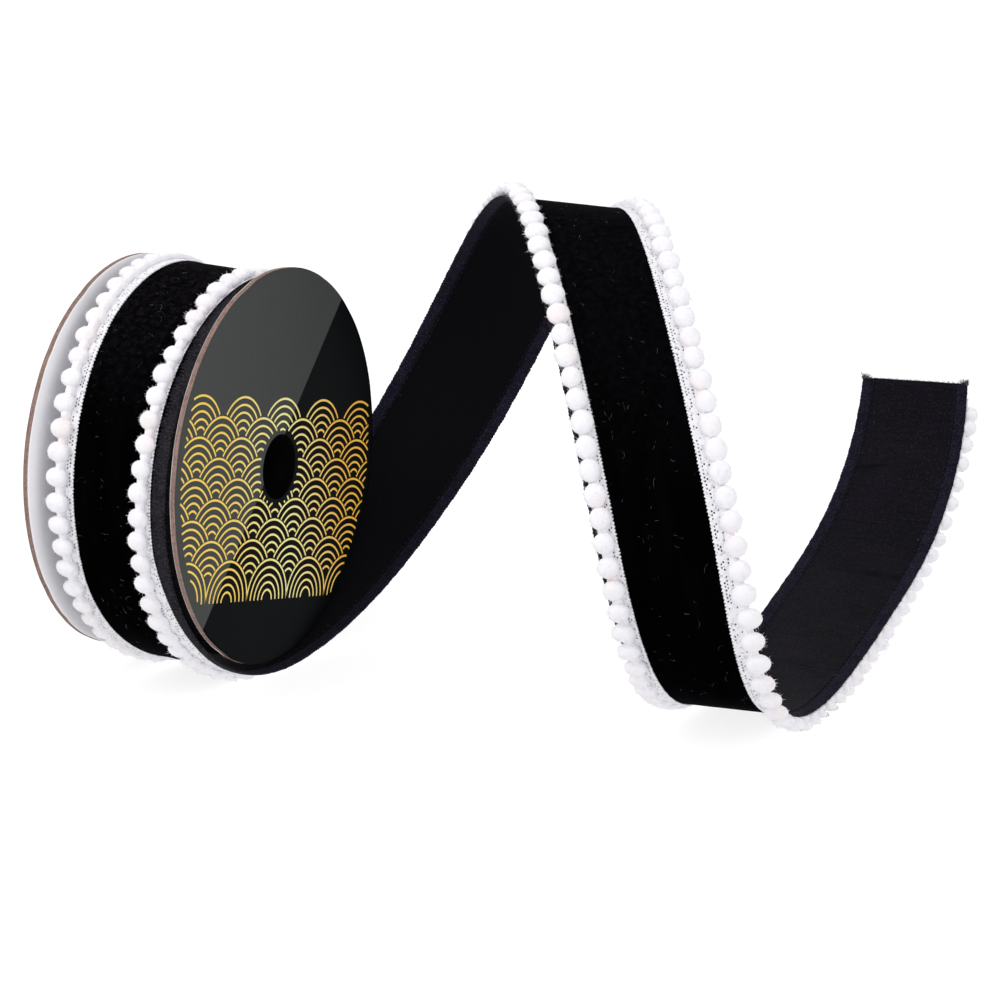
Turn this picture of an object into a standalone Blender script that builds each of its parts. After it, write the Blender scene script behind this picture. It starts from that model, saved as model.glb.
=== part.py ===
"""Black velvet ribbon edged with white pompom trim, part of it wound on a cardboard spool.

The outer end has sprung off the spool: it runs once round the roll, leaves it underneath,
climbs over in one wide curl, touches down again and ends in a raised straight cut.
Lengths are in millimetres and angles in degrees; make_piece turns them into metres.
The spool's axis is X, and the spool's centre is the zero of every length below.  The last
step lifts the whole part so that the origin lies on the floor under the middle of its box.
"""

import math
from collections import namedtuple

import bmesh
import bpy
from mathutils import Matrix, Vector

METRES = 0.001
GAP = 0.3  # between neighbouring pieces
TRIM_GAP = 0.37  # under the trim, whose facets cross the ribbon's at the bends

# Spool
FLANGE_RADIUS = 79.0
FLANGE_THICKNESS = 2.4
FLANGE_SPACING = 63.0  # between the inner faces
FLANGE_STEPS = 64
BORE_RADIUS = 13.0
CORE_WALL = 3.0
CORE_STEPS = 24

# Wound roll: the turns under the loose outer one
ROLL_RADIUS = 68.8
ROLL_WIDTH = 53.0
ROLL_SHOULDER = 4.0  # the turns step in by this much towards the outside
ROLL_SHOULDER_DEPTH = 9.0
ROLL_END_RISE = 1.4  # the last turn lifts here, where the loose ribbon carries on from it
ROLL_END_SPREAD = 30.0  # degrees each way over which it lifts
ROLL_STEPS = 48

# Ribbon
RIBBON_LENGTH = 1266.0
RIBBON_WIDTH = 50.8
RIBBON_THICKNESS = 1.4
RIBBON_COLUMNS = 3
ROW_SPACING = 9.0

# Where the loose ribbon starts, low on the roll's far side
START_ANGLE = -60.0
START_RADIUS = 71.8
START_X = 1.2
START_YAW = -1.7
PATH_STEP = 6.0

# How the ribbon bends along its length, read evenly between the rows.  The velvet is outside.
# bend: degrees in each 100 mm; skew: degrees from straight across to the line it bends along
Fold = namedtuple("Fold", "along bend skew")
FOLDS = (
    Fold(0, 62, 5),  # up the back of the roll
    Fold(90, 84, -2),
    Fold(180, 77, -4),  # over its top
    Fold(240, 79, 8),
    Fold(300, 65, 5),  # down its front
    Fold(360, 76, 3),
    Fold(420, 81, -2),  # under it, on the floor
    Fold(480, 42, 39),
    Fold(540, 22, 34),  # up behind the right flange
    Fold(600, 72, 17),
    Fold(660, 76, 15),
    Fold(720, 46, 29),  # over the top of the curl
    Fold(780, 71, 25),
    Fold(840, 34, 4),  # down the front of the curl
    Fold(900, 37, 10),
    Fold(960, 86, 31),
    Fold(1020, 97, 9),
    Fold(1080, 29, 8),  # on the floor again
    Fold(1140, -1, 4),
    Fold(1200, 60, -11),
    Fold(1260, 77, -16),  # the raised end
)

# Trim along each edge: a tape with a cord on it and a row of pompoms
CORD_WIDTH = 3.4
CORD_HEIGHT = 2.4
CORD_SHARE = 0.75  # of a low pompom's height, where the cord is lower than CORD_HEIGHT
CORD_WAIST = 0.7  # share of the cord's height at which it is widest
CORD_INSET = 3.1  # from the hem's edge to the cord's centre line
POMPOM_PITCH = 9.0
POMPOM_WIDTH = 8.2
POMPOM_FULL = 3.6  # length of the full section of a pompom, along the row
POMPOM_WAIST = 0.52  # share of a pompom's height at which it is widest
POMPOM_FOOT = 1.2  # its foot reaches this far out from the row's centre line
POMPOM_INSET = 2.6  # from the hem's edge to the row's centre line
FIRST_POMPOM_LEFT = 4.7  # from the ribbon's inner end
FIRST_POMPOM_RIGHT = 7.7
PRESSED_WIDTH = 5.6  # flat top of a pompom that the part rests on

# How the trim lies along each edge, read evenly between the rows.
# lean: how far the pompoms are bent outward, and less than 0 is inward over the ribbon;
# top: their height over the velvet; hem: how much of the hem shows outside the tape
Lay = namedtuple(
    "Lay", "along left_lean left_top left_hem left_tape right_lean right_top right_hem right_tape"
)
LAYS = (
    Lay(0, 2.9, 2.3, 2.0, 7.7, -5.5, 1.8, 5.0, 9.9),  # up the back of the roll
    Lay(188, 2.9, 2.3, 2.0, 7.7, -5.5, 1.8, 5.0, 9.9),
    Lay(200, 2.8, 2.3, 2.0, 7.7, -5.5, 4.6, 5.0, 9.9),  # down its front
    Lay(240, 2.0, 3.2, 2.0, 7.7, -5.5, 4.6, 5.0, 9.9),
    Lay(290, 0.5, 4.6, 2.0, 9.1, -5.7, 4.6, 5.0, 9.9),
    Lay(330, 0.9, 4.4, 2.0, 8.8, -7.4, 4.6, 4.8, 10.4),
    Lay(350, 1.4, 3.6, 2.0, 7.9, -7.8, 4.6, 2.9, 10.6),
    Lay(375, 1.2, 3.0, 2.0, 7.7, -7.8, 4.2, 1.4, 10.6),
    Lay(430, 1.2, 2.6, 2.0, 7.7, -7.2, 3.4, 1.4, 10.4),  # under it
    Lay(480, -2.0, 4.6, 3.4, 8.5, -5.0, 4.6, 4.4, 9.7),  # behind the spool
    Lay(650, -2.0, 5.4, 3.2, 8.5, -5.0, 4.6, 4.4, 9.7),
    Lay(720, -1.6, 5.4, 3.2, 8.3, -0.2, 3.6, 3.0, 7.7),  # over the top of the curl
    Lay(760, -0.9, 5.4, 3.2, 8.1, 1.2, 4.2, 2.6, 7.7),
    Lay(800, -0.9, 5.4, 3.2, 8.1, 1.3, 5.4, 2.6, 7.7),  # down the curl's front
    Lay(930, -0.9, 5.4, 3.2, 8.1, 1.6, 5.4, 2.6, 7.9),
    Lay(980, -0.9, 5.4, 3.2, 8.1, 2.0, 5.4, 2.6, 8.6),
    Lay(1010, 1.8, 2.3, 2.4, 7.7, 2.0, 5.4, 2.6, 9.2),
    Lay(1060, 1.8, 2.7, 2.4, 7.7, 2.2, 5.4, 2.6, 9.2),  # under the curl
    Lay(1100, -0.6, 4.4, 3.0, 7.9, 2.5, 4.8, 2.8, 8.4),  # the tail
)
CORD_FOLLOWS_IN = 0.85  # the cord leans by this share of the pompoms' inward lean
CORD_FOLLOWS_OUT = 0.25  # and by this share of their outward lean

# The floor, measured up from the spool's axis, and the pompoms that count as resting on it
FLOOR = -85.0
FLOOR_NEAR = 0.25
REST_MARGIN = 2  # more pompoms at each end of a resting stretch

SHARP_ANGLE = 40.0  # edges that turn more than this are shaded sharp

Material = namedtuple("Material", "name colour roughness metallic")
LAMINATE = Material("black_laminate", (0.012, 0.011, 0.013), 0.16, 0.0)
BOARD = Material("white_board", (0.70, 0.69, 0.70), 0.7, 0.0)
KRAFT = Material("kraft_tube", (0.36, 0.24, 0.19), 0.85, 0.0)
WOUND = Material("wound_ribbon", (0.012, 0.012, 0.016), 0.9, 0.0)
VELVET = Material("black_velvet", (0.006, 0.006, 0.008), 0.95, 0.0)
YARN = Material("white_yarn", (0.86, 0.84, 0.84), 0.95, 0.0)


def read_rows(rows, along, column):
    """A column of a table at a place along the ribbon, read evenly between its rows."""
    if along <= rows[0].along:
        return getattr(rows[0], column)
    for here, after in zip(rows, rows[1:]):
        if along <= after.along:
            part = (along - here.along) / (after.along - here.along)
            return getattr(here, column) * (1 - part) + getattr(after, column) * part
    return getattr(rows[-1], column)


class Strip:
    """The ribbon's middle surface, bent only along straight lines as cloth tape bends."""

    def __init__(self):
        angle = math.radians(START_ANGLE)
        outward = Vector((0, math.cos(angle), math.sin(angle)))
        turn = Matrix.Rotation(math.radians(START_YAW), 3, outward)
        ahead = turn @ Vector((0, -math.sin(angle), math.cos(angle)))
        across = turn @ Vector((1, 0, 0))
        centre = Vector((START_X, 0, 0)) + outward * START_RADIUS
        past_end = RIBBON_WIDTH / 2 * math.tan(math.radians(abs(FOLDS[-1].skew)))
        self.lines = []
        for step in range(int((RIBBON_LENGTH + past_end) / PATH_STEP) + 2):
            along = step * PATH_STEP
            slant = math.tan(math.radians(read_rows(FOLDS, along, "skew")))
            side = across + ahead * slant
            self.lines.append((along, slant, centre, side, outward))
            bend = math.radians(read_rows(FOLDS, along, "bend") / 100 * PATH_STEP)
            turn = Matrix.Rotation(bend, 3, side.normalized())
            ahead = turn @ ahead
            across = turn @ across
            outward = ahead.cross(across)
            centre = centre + ahead * PATH_STEP

    def point(self, along, across, up):
        """The place at a distance along, to the right of and above the middle surface."""
        before = self.lines[0]
        for line in self.lines[1:]:
            if line[0] + line[1] * across >= along:
                break
            before = line
        start = before[0] + before[1] * across
        part = (along - start) / (line[0] + line[1] * across - start)
        part = min(max(part, 0.0), 1.0)
        centre = before[2].lerp(line[2], part)
        side = before[3].lerp(line[3], part)
        outward = before[4].lerp(line[4], part).normalized()
        return centre + side * across + outward * up


def smooth_step(low, high, value):
    """0 below low, 1 above high, and an even S between them."""
    part = min(max((value - low) / (high - low), 0.0), 1.0)
    return part * part * (3 - 2 * part)


def make_material(recipe):
    """The material of a recipe, made once and shared."""
    material = bpy.data.materials.get(recipe.name)
    if material is None:
        material = bpy.data.materials.new(recipe.name)
        material.use_nodes = True
        shader = material.node_tree.nodes["Principled BSDF"]
        shader.inputs["Base Color"].default_value = (*recipe.colour, 1.0)
        shader.inputs["Roughness"].default_value = recipe.roughness
        shader.inputs["Metallic"].default_value = recipe.metallic
    return material


def cap_faces(ring):
    """Faces that close a ring of corners, each joining two on one side to two on the other."""
    faces = []
    for index in range((len(ring) - 1) // 2):
        corners = [ring[index], ring[index + 1], ring[-2 - index], ring[-1 - index]]
        if corners[1] == corners[2]:
            corners.pop(1)
        faces.append(corners)
    return faces


def make_piece(name, rings, recipe, joined=False):
    """A solid skinned over rings of corners, either joined round or closed at both ends."""
    mesh = bpy.data.meshes.new(name)
    shape = bmesh.new()
    loops = [[shape.verts.new(Vector(corner) * METRES) for corner in ring] for ring in rings]
    pairs = list(zip(loops, loops[1:]))
    if joined:
        pairs.append((loops[-1], loops[0]))
    else:
        for faces in (cap_faces(loops[0]), cap_faces(loops[-1])):
            for corners in faces:
                shape.faces.new(corners)
    for here, after in pairs:
        for index in range(len(here)):
            shape.faces.new((here[index - 1], here[index], after[index], after[index - 1]))
    bmesh.ops.recalc_face_normals(shape, faces=shape.faces)
    shape.to_mesh(mesh)
    shape.free()
    mesh.shade_smooth()
    mesh.set_sharp_from_angle(angle=math.radians(SHARP_ANGLE))
    mesh.materials.append(make_material(recipe))
    piece = bpy.data.objects.new(name, mesh)
    bpy.context.collection.objects.link(piece)
    return piece


def turned_rings(profile, steps):
    """Rings of a profile turned round the X axis; profile(angle) gives (x, radius) corners."""
    rings = []
    for step in range(steps):
        angle = math.tau * step / steps
        rings.append([
            (x, radius * math.cos(angle), radius * math.sin(angle))
            for x, radius in profile(angle)
        ])
    return rings


def tube_profile(left, right, inner, outer):
    """The section of a plain ring or tube, the same at every angle."""
    return lambda angle: ((left, inner), (left, outer), (right, outer), (right, inner))


def roll_profile(angle):
    """The wound roll's section, which rises a little where the loose ribbon leaves it."""
    away = math.degrees(angle) - START_ANGLE
    away = abs((away + 180) % 360 - 180)
    rise = ROLL_END_RISE * (1 - smooth_step(0, ROLL_END_SPREAD, away))
    radius = ROLL_RADIUS + rise
    half = ROLL_WIDTH / 2
    narrow = half - ROLL_SHOULDER / 2
    inner = BORE_RADIUS + CORE_WALL + GAP
    return (
        (-half, inner),
        (-half, radius - ROLL_SHOULDER_DEPTH),
        (-narrow, radius),
        (narrow, radius),
        (half, radius - ROLL_SHOULDER_DEPTH),
        (half, inner),
    )


def make_spool():
    """Two flat flanges with a hole, and the tube between them."""
    inner_face = FLANGE_SPACING / 2
    outer_face = inner_face + FLANGE_THICKNESS
    for name, left, right, recipe in (
        ("flange_right", inner_face, outer_face, LAMINATE),
        ("flange_left", -outer_face, -inner_face, BOARD),
    ):
        profile = tube_profile(left, right, BORE_RADIUS, FLANGE_RADIUS)
        make_piece(name, turned_rings(profile, FLANGE_STEPS), recipe, joined=True)
    reach = inner_face - GAP
    profile = tube_profile(-reach, reach, BORE_RADIUS, BORE_RADIUS + CORE_WALL)
    make_piece("core", turned_rings(profile, CORE_STEPS), KRAFT, joined=True)


def make_roll():
    """The turns wound under the loose one, as one solid."""
    make_piece("wound_roll", turned_rings(roll_profile, ROLL_STEPS), WOUND, joined=True)


def make_ribbon(strip):
    """The loose ribbon with its hems, from where it leaves the roll to its cut end."""
    half = RIBBON_WIDTH / 2
    places = [half * (2 * column / RIBBON_COLUMNS - 1) for column in range(RIBBON_COLUMNS + 1)]
    rows = round(RIBBON_LENGTH / ROW_SPACING)
    rings = []
    for row in range(rows + 1):
        along = RIBBON_LENGTH * row / rows
        top = [strip.point(along, place, RIBBON_THICKNESS / 2) for place in places]
        back = [strip.point(along, place, -RIBBON_THICKNESS / 2) for place in reversed(places)]
        rings.append(top + back)
    make_piece("ribbon", rings, VELVET)


def lay_at(side, along, what):
    """How the trim of an edge lies at a place along the ribbon: its lean, top or hem."""
    return read_rows(LAYS, along, ("right_" if side > 0 else "left_") + what)


def trim_section(side, along, full):
    """Corners (across, up) of the trim, at a pompom if full and else at the cord between.

    Across runs from the ribbon's centre line towards the edge, and up from its velvet face.
    """
    lean = lay_at(side, along, "lean")
    top = lay_at(side, along, "top")
    edge = RIBBON_WIDTH / 2
    tape_out = edge - lay_at(side, along, "hem")
    tape_in = edge - lay_at(side, along, "tape")
    if full:
        centre = edge - POMPOM_INSET + lean
        half = POMPOM_WIDTH / 2
        foot = min(max(tape_out, centre + POMPOM_FOOT), edge)
        waist = top * POMPOM_WAIST
    else:
        centre = edge - CORD_INSET + lean * (CORD_FOLLOWS_IN if lean < 0 else CORD_FOLLOWS_OUT)
        half = CORD_WIDTH / 2
        foot = tape_out
        top = min(CORD_HEIGHT, top * CORD_SHARE)
        waist = top * CORD_WAIST
    return (
        (tape_in, 0.0),
        (foot, 0.0),
        (centre + half, waist),
        (centre, top),
        (centre - half, waist),
    )


def trim_ring(strip, side, along, full):
    """The trim's section on the ribbon; a resting pompom is flat, and the cord stays clear."""
    face = RIBBON_THICKNESS / 2 + TRIM_GAP
    section = trim_section(side, along, full)
    ring = [strip.point(along, side * across, face + up) for across, up in section]
    if full and ring[3].z < FLOOR + FLOOR_NEAR:
        ring[2:5] = pressed_corners(strip, side, along, section[3])
    if not full:
        for corner in ring:
            corner.z = max(corner.z, FLOOR + FLOOR_NEAR)
    return ring


def pressed_corners(strip, side, along, top):
    """The three upper corners of a pompom that the part rests on, all on the floor."""
    centre, height = top
    face = RIBBON_THICKNESS / 2 + TRIM_GAP
    corners = []
    for shift in (PRESSED_WIDTH / 2, 0.0, -PRESSED_WIDTH / 2):
        corner = strip.point(along, side * (centre + shift), face + height)
        corner.z = FLOOR
        corners.append(corner)
    return corners


def pompom_places(side):
    """Where the pompoms of one edge sit, along the ribbon."""
    first = FIRST_POMPOM_RIGHT if side > 0 else FIRST_POMPOM_LEFT
    room = RIBBON_LENGTH - POMPOM_PITCH / 2 - first
    return [first + POMPOM_PITCH * index for index in range(int(room / POMPOM_PITCH) + 1)]


def trim_stretches(strip, side):
    """The runs of pompoms on one edge, as (name, first, last): resting ones are their own."""
    tops = []
    for along in pompom_places(side):
        centre, height = trim_section(side, along, True)[3]
        up = RIBBON_THICKNESS / 2 + TRIM_GAP + height
        tops.append(strip.point(along, side * centre, up).z)
    resting = [index for index, top in enumerate(tops) if top < FLOOR + FLOOR_NEAR]
    middle = len(tops) // 2
    under_roll = [index for index in resting if index < middle]
    under_curl = [index for index in resting if index > middle]
    a, b = under_roll[0] - REST_MARGIN, under_roll[-1] + REST_MARGIN
    c, d = under_curl[0] - REST_MARGIN, under_curl[-1] + REST_MARGIN
    return (
        ("on_roll", 0, a - 1),
        ("rest_roll", a, b),
        ("curl", b + 1, c - 1),
        ("rest_curl", c, d),
        ("tail", d + 1, len(tops) - 1),
    )


def make_trim(strip, side, side_name):
    """Tape, cord and pompoms along one edge, in stretches that end between two pompoms."""
    places = pompom_places(side)
    reach = (POMPOM_PITCH - GAP) / 2
    for name, first, last in trim_stretches(strip, side):
        stations = [(places[first] - reach, False)]
        for index in range(first, last + 1):
            stations.append((places[index] - POMPOM_FULL / 2, True))
            stations.append((places[index] + POMPOM_FULL / 2, True))
            if index < last:
                stations.append((places[index] + POMPOM_PITCH / 2, False))
        stations.append((places[last] + reach, False))
        rings = [trim_ring(strip, side, along, full) for along, full in stations]
        make_piece(f"trim_{side_name}_{name}", rings, YARN)


def stand_on_floor():
    """Hangs every piece on an empty at the spool's centre and stands the part on the origin."""
    pieces = [piece for piece in bpy.data.objects if piece.type == "MESH"]
    corners = [vertex.co for piece in pieces for vertex in piece.data.vertices]
    low = [min(corner[axis] for corner in corners) for axis in range(3)]
    high = [max(corner[axis] for corner in corners) for axis in range(3)]
    centre = bpy.data.objects.new("spool_centre", None)
    centre.location = (-(low[0] + high[0]) / 2, -(low[1] + high[1]) / 2, -low[2])
    bpy.context.collection.objects.link(centre)
    for piece in pieces:
        piece.parent = centre


def main():
    for leftover in list(bpy.data.objects):
        bpy.data.objects.remove(leftover)
    strip = Strip()
    make_spool()
    make_roll()
    make_ribbon(strip)
    make_trim(strip, -1, "left")
    make_trim(strip, 1, "right")
    stand_on_floor()


main()
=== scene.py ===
"""A velvet ribbon with pompom edging on a card spool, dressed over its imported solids.

Lengths are in millimetres from the spool's centre, with the spool's axis along X, until
add_piece turns them into metres in the shared frame.  A place on the ribbon is given by its
distance along it, its distance to the right of its middle line and its height over it.
"""

import math
from collections import namedtuple

import bmesh
import bpy
import numpy as np
from bpy.props import FloatProperty, FloatVectorProperty, IntProperty, PointerProperty
from mathutils import Matrix, Vector, noise


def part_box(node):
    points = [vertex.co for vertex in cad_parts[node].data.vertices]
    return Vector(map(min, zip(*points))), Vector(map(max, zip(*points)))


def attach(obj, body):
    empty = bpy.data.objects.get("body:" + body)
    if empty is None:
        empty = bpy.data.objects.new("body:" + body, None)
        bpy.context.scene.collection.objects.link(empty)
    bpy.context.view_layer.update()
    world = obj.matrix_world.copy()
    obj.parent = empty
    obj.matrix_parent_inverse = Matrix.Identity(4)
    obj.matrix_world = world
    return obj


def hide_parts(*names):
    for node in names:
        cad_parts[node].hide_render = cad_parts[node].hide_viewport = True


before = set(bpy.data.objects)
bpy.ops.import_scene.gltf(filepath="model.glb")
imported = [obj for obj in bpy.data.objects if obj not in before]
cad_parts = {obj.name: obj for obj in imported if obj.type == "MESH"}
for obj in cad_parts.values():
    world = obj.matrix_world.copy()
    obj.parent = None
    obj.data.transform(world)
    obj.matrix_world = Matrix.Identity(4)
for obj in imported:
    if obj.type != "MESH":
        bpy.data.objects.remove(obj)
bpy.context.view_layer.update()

bl_info = {
    "name": "Pompom trimmed ribbon",
    "version": (1, 0, 0),
    "blender": (4, 5, 0),
    "location": "View3D > Sidebar > Ribbon",
    "description": "Builds a velvet ribbon with pompom edging, half unwound from its card spool",
    "category": "Add Mesh",
}

MM = 0.001

# The ribbon's path, as in the part's source
PATH_STEP = 6.0
START_ANGLE = -60.0
START_RADIUS = 71.8
START_X = 1.2
START_YAW = -1.7
Fold = namedtuple("Fold", "along bend skew")
FOLDS = (
    Fold(0, 62, 5),
    Fold(90, 84, -2),
    Fold(180, 77, -4),
    Fold(240, 79, 8),
    Fold(300, 65, 5),
    Fold(360, 76, 3),
    Fold(420, 81, -2),
    Fold(480, 42, 39),
    Fold(540, 22, 34),
    Fold(600, 72, 17),
    Fold(660, 76, 15),
    Fold(720, 46, 29),
    Fold(780, 71, 25),
    Fold(840, 34, 4),
    Fold(900, 37, 10),
    Fold(960, 86, 31),
    Fold(1020, 97, 9),
    Fold(1080, 29, 8),
    Fold(1140, -1, 4),
    Fold(1200, 60, -11),
    Fold(1260, 77, -16),
)

# How the trim lies along each edge: how far the pompoms are bent outward, or inward over the
# ribbon if less than 0, their height over the velvet, how much hem shows outside the tape, and
# how far the tape's inner edge is from the ribbon's
Lay = namedtuple(
    "Lay", "along left_lean left_top left_hem left_tape right_lean right_top right_hem right_tape"
)
LAYS = (
    Lay(188, 2.9, 2.3, 2.0, 7.7, -5.5, 1.8, 5.0, 9.9),
    Lay(200, 2.8, 2.3, 2.0, 7.7, -5.5, 4.6, 5.0, 9.9),
    Lay(240, 2.0, 3.2, 2.0, 7.7, -5.5, 4.6, 5.0, 9.9),
    Lay(290, -0.6, 4.6, 2.0, 9.1, -5.7, 4.6, 5.0, 9.9),
    Lay(330, -0.5, 4.6, 2.0, 9.0, -7.4, 4.6, 4.8, 10.4),
    Lay(350, 0.6, 3.8, 2.0, 8.0, -7.8, 4.6, 2.9, 10.6),
    Lay(375, 1.2, 3.0, 2.0, 7.7, -7.8, 4.2, 1.4, 10.6),
    Lay(430, 1.2, 2.6, 2.0, 7.7, -7.2, 3.4, 1.4, 10.4),
    Lay(480, -2.0, 4.6, 3.4, 8.5, -5.0, 4.6, 4.4, 9.7),
    Lay(650, -2.0, 5.4, 3.2, 8.5, -5.0, 4.6, 4.4, 9.7),
    Lay(720, -2.2, 5.4, 3.2, 8.3, -0.2, 3.6, 3.0, 7.7),
    Lay(760, -1.6, 5.4, 3.2, 8.1, 1.2, 4.2, 2.6, 7.7),
    Lay(800, -1.2, 5.4, 3.2, 8.1, 1.3, 5.4, 2.6, 7.7),
    Lay(930, -0.9, 5.4, 3.2, 8.1, 1.6, 5.4, 2.6, 7.9),
    Lay(980, -0.9, 5.4, 3.2, 8.1, 2.0, 5.4, 2.6, 8.6),
    Lay(1010, 1.8, 2.3, 2.4, 7.7, 2.0, 5.4, 2.6, 9.2),
    Lay(1060, 1.8, 2.7, 2.4, 7.7, 2.2, 5.4, 2.6, 9.2),
    Lay(1100, -0.6, 4.4, 3.0, 7.9, 2.5, 4.8, 2.8, 8.4),
)
CORD_FOLLOWS = 0.85  # the cord leans by this share of the pompoms' lean
CORD_OUT = 1.1  # but outward no further than this
VELVET_FACE = 1.07  # the trim's underside, above the ribbon's middle surface
FIRST_POMPOM = {-1: 4.7, 1: 7.7}

# Where pompoms are wider than elsewhere, and how far they sit ahead of an even row
Row = namedtuple("Row", "along left_wide left_ahead right_wide right_ahead")
ROWS = (
    Row(200, 1.0, 0.0, 1.0, 1.0),
    Row(270, 1.1, 1.0, 1.0, 1.0),
    Row(300, 1.24, 2.4, 1.06, 1.0),
    Row(340, 1.24, 3.4, 1.06, 1.0),
    Row(380, 1.1, 4.3, 1.06, 0.8),
    Row(430, 1.05, 4.4, 1.06, 0.5),
    Row(600, 1.0, 1.0, 1.0, -0.6),
    Row(680, 1.16, 0.0, 1.1, -1.0),
    Row(760, 1.16, -0.8, 1.06, -1.3),
    Row(850, 1.05, 0.5, 1.0, -0.8),
    Row(900, 1.0, 1.1, 1.0, -0.8),
    Row(970, 1.08, -1.0, 1.13, -1.8),
    Row(1060, 1.08, -0.5, 1.13, -1.0),
    Row(1120, 0.92, 0.4, 0.92, 0.4),
    Row(1170, 0.92, 1.1, 0.92, 1.1),
)
SIDES = {-1: "left", 1: "right"}


def spool_centre():
    """The spool's centre in the shared frame, from the boxes of its flanges."""
    left_low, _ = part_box("flange_left")
    right_low, right_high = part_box("flange_right")
    middle = (right_low + right_high) / 2
    middle.x = (left_low.x + right_high.x) / 2
    return middle


CENTRE = np.array(spool_centre())
FLOOR = -CENTRE[2] / MM
ABOVE_FLOOR = 0.02  # pressed yarn lies this far over the floor
SPREAD = 0.025  # what would sink moves outward by this share of its way for each millimetre
SPREAD_MOST = 2.0


def millimetres(name, description, default):
    """A length that a user may change."""
    return FloatProperty(name=name, description=description, default=default * MM, unit="LENGTH")


def degrees(name, description, default):
    """An angle that a user may change."""
    return FloatProperty(
        name=name, description=description, default=math.radians(default), unit="ROTATION"
    )


def colour(name, description, default):
    """A colour that a user may change."""
    return FloatVectorProperty(
        name=name, description=description, default=default, subtype="COLOR", min=0, max=1
    )


class RibbonSizes(bpy.types.PropertyGroup):
    """The cloth of the ribbon and its hems."""

    width: millimetres("Width", "Ribbon from hem to hem", 50.8)
    length: millimetres("Loose length", "Ribbon from the roll to its cut end", 1266)
    pile: millimetres("Pile side", "Velvet above the middle", 0.55)
    backing: millimetres("Back side", "Satin below the middle", 0.4)
    hem_width: millimetres("Hem width", "Overlocked band along each edge", 5.3)
    hem_thickness: millimetres("Hem thickness", "Through the overlocking", 1.45)
    rib_pitch: millimetres("Rib pitch", "Between the threads of the overlocking", 1.5)
    lint: IntProperty(name="Lint", description="Loose fibres on the velvet", default=620, min=0)


class TrimSizes(bpy.types.PropertyGroup):
    """The pompoms with their cord and tape."""

    pitch: millimetres("Pitch", "Between pompoms along an edge", 9)
    pompom_width: millimetres("Pompom width", "Across a pompom", 8.1)
    pompom_length: millimetres("Pompom length", "Along the row", 7.6)
    pompom_height: millimetres("Pompom height", "Through a round pompom", 5.8)
    pompom_inset: millimetres("Pompom inset", "From the ribbon's edge to the pompoms' line", 2.6)
    cord_width: millimetres("Cord width", "Across the cord", 3.5)
    cord_height: millimetres("Cord height", "Cord above the tape", 2.5)
    cord_inset: millimetres("Cord inset", "From the ribbon's edge to the cord's line", 3.1)
    picot_pitch: millimetres("Picot pitch", "Between the scallops of the tape's inner edge", 1.4)


class SpoolSizes(bpy.types.PropertyGroup):
    """The card spool; its flanges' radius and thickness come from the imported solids."""

    bore: millimetres("Bore radius", "Hole through the spool", 13)
    core_wall: millimetres("Tube wall", "Thickness of the tube", 3)
    roll_radius: millimetres("Roll radius", "Wound turns", 68.8)
    roll_width: millimetres("Roll width", "Across the wound turns", 53)
    foil_width: millimetres("Foil line width", "Gold lines of the printed flange", 0.9)


class TrimColours(bpy.types.PropertyGroup):
    """The colours of every finish."""

    velvet: colour("Velvet", "Depth of the pile", (0.0006, 0.0005, 0.0007))
    # Painted highlight: the lighter pile shown where the velvet faces upward
    painted_pile_highlight: colour("Pile tips", "Velvet that faces the light", (0.0070, 0.0062, 0.0075))
    velvet_sheen: colour("Velvet sheen", "Tips of the pile", (0.42, 0.42, 0.50))
    satin: colour("Satin", "Back of the ribbon", (0.0030, 0.0025, 0.0050))
    satin_specks: colour("Satin specks", "Paler threads of the back", (0.0200, 0.0165, 0.0190))
    hem: colour("Hem", "Overlocking thread on the velvet side", (0.0130, 0.0120, 0.0145))
    hem_under: colour("Hem's back", "Overlocking thread on the back", (0.0082, 0.0076, 0.0140))
    yarn: colour("Yarn", "Pompoms and cord", (0.955, 0.94, 0.985))
    blush: colour("Blush", "Faint patches on the yarn", (0.96, 0.83, 0.80))
    tape: colour("Tape", "Open woven tape", (0.95, 0.94, 0.975))
    tape_gaps: colour("Tape gaps", "Thin places of the tape", (0.50, 0.51, 0.58))
    laminate: colour("Laminate", "Printed face of the flange", (0.0022, 0.0028, 0.0033))
    # Painted reflection: the lighter glare painted on the upper left of the printed face
    painted_glare: colour("Gloss", "Lighter part of the printed face", (0.069, 0.073, 0.071))
    foil_yellow: colour("Foil yellow", "Gold lines on the left", (1.0, 0.68, 0.085))
    foil_pale: colour("Foil pale", "Gold lines in the middle", (1.0, 0.93, 0.36))
    foil_orange: colour("Foil orange", "Gold lines on the right", (1.0, 0.54, 0.035))
    board: colour("Board", "White inner faces of the flanges", (0.93, 0.92, 0.95))
    kraft: colour("Kraft", "Cut edges of the board", (0.275, 0.18, 0.152))
    # Painted shade: the tube is near black, standing for the shade deep in the bore
    tube: colour("Tube", "Lining of the tube", (0.0012, 0.0012, 0.0016))
    floor: colour("Floor", "Plain ground", (0.26, 0.26, 0.27))


class StageSettings(bpy.types.PropertyGroup):
    """The camera and the light."""

    azimuth: degrees("Azimuth", "Camera's turn round the spool", 25.75)
    elevation: degrees("Elevation", "Camera above the horizon", 15.49)
    distance: millimetres("Distance", "Camera to the spool's plane", 1300)
    aim_right: millimetres("Aim right", "Camera right of the spool", 117.8)
    aim_up: millimetres("Aim up", "Camera above the spool", -17.1)
    lens: FloatProperty(name="Lens", description="Focal length in millimetres", default=117.1)
    sky: FloatProperty(name="Surround", description="Light from all round", default=0.87)
    key: FloatProperty(name="Key light", description="Soft box on the left", default=9.5)
    fill: FloatProperty(name="Fill light", description="Soft box on the right", default=2.0)


# ---------------------------------------------------------------- the ribbon's path


def read_rows(rows, along, column):
    """A column of a table at places along the ribbon, read evenly between its rows."""
    return np.interp(along, [row.along for row in rows], [getattr(row, column) for row in rows])


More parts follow.
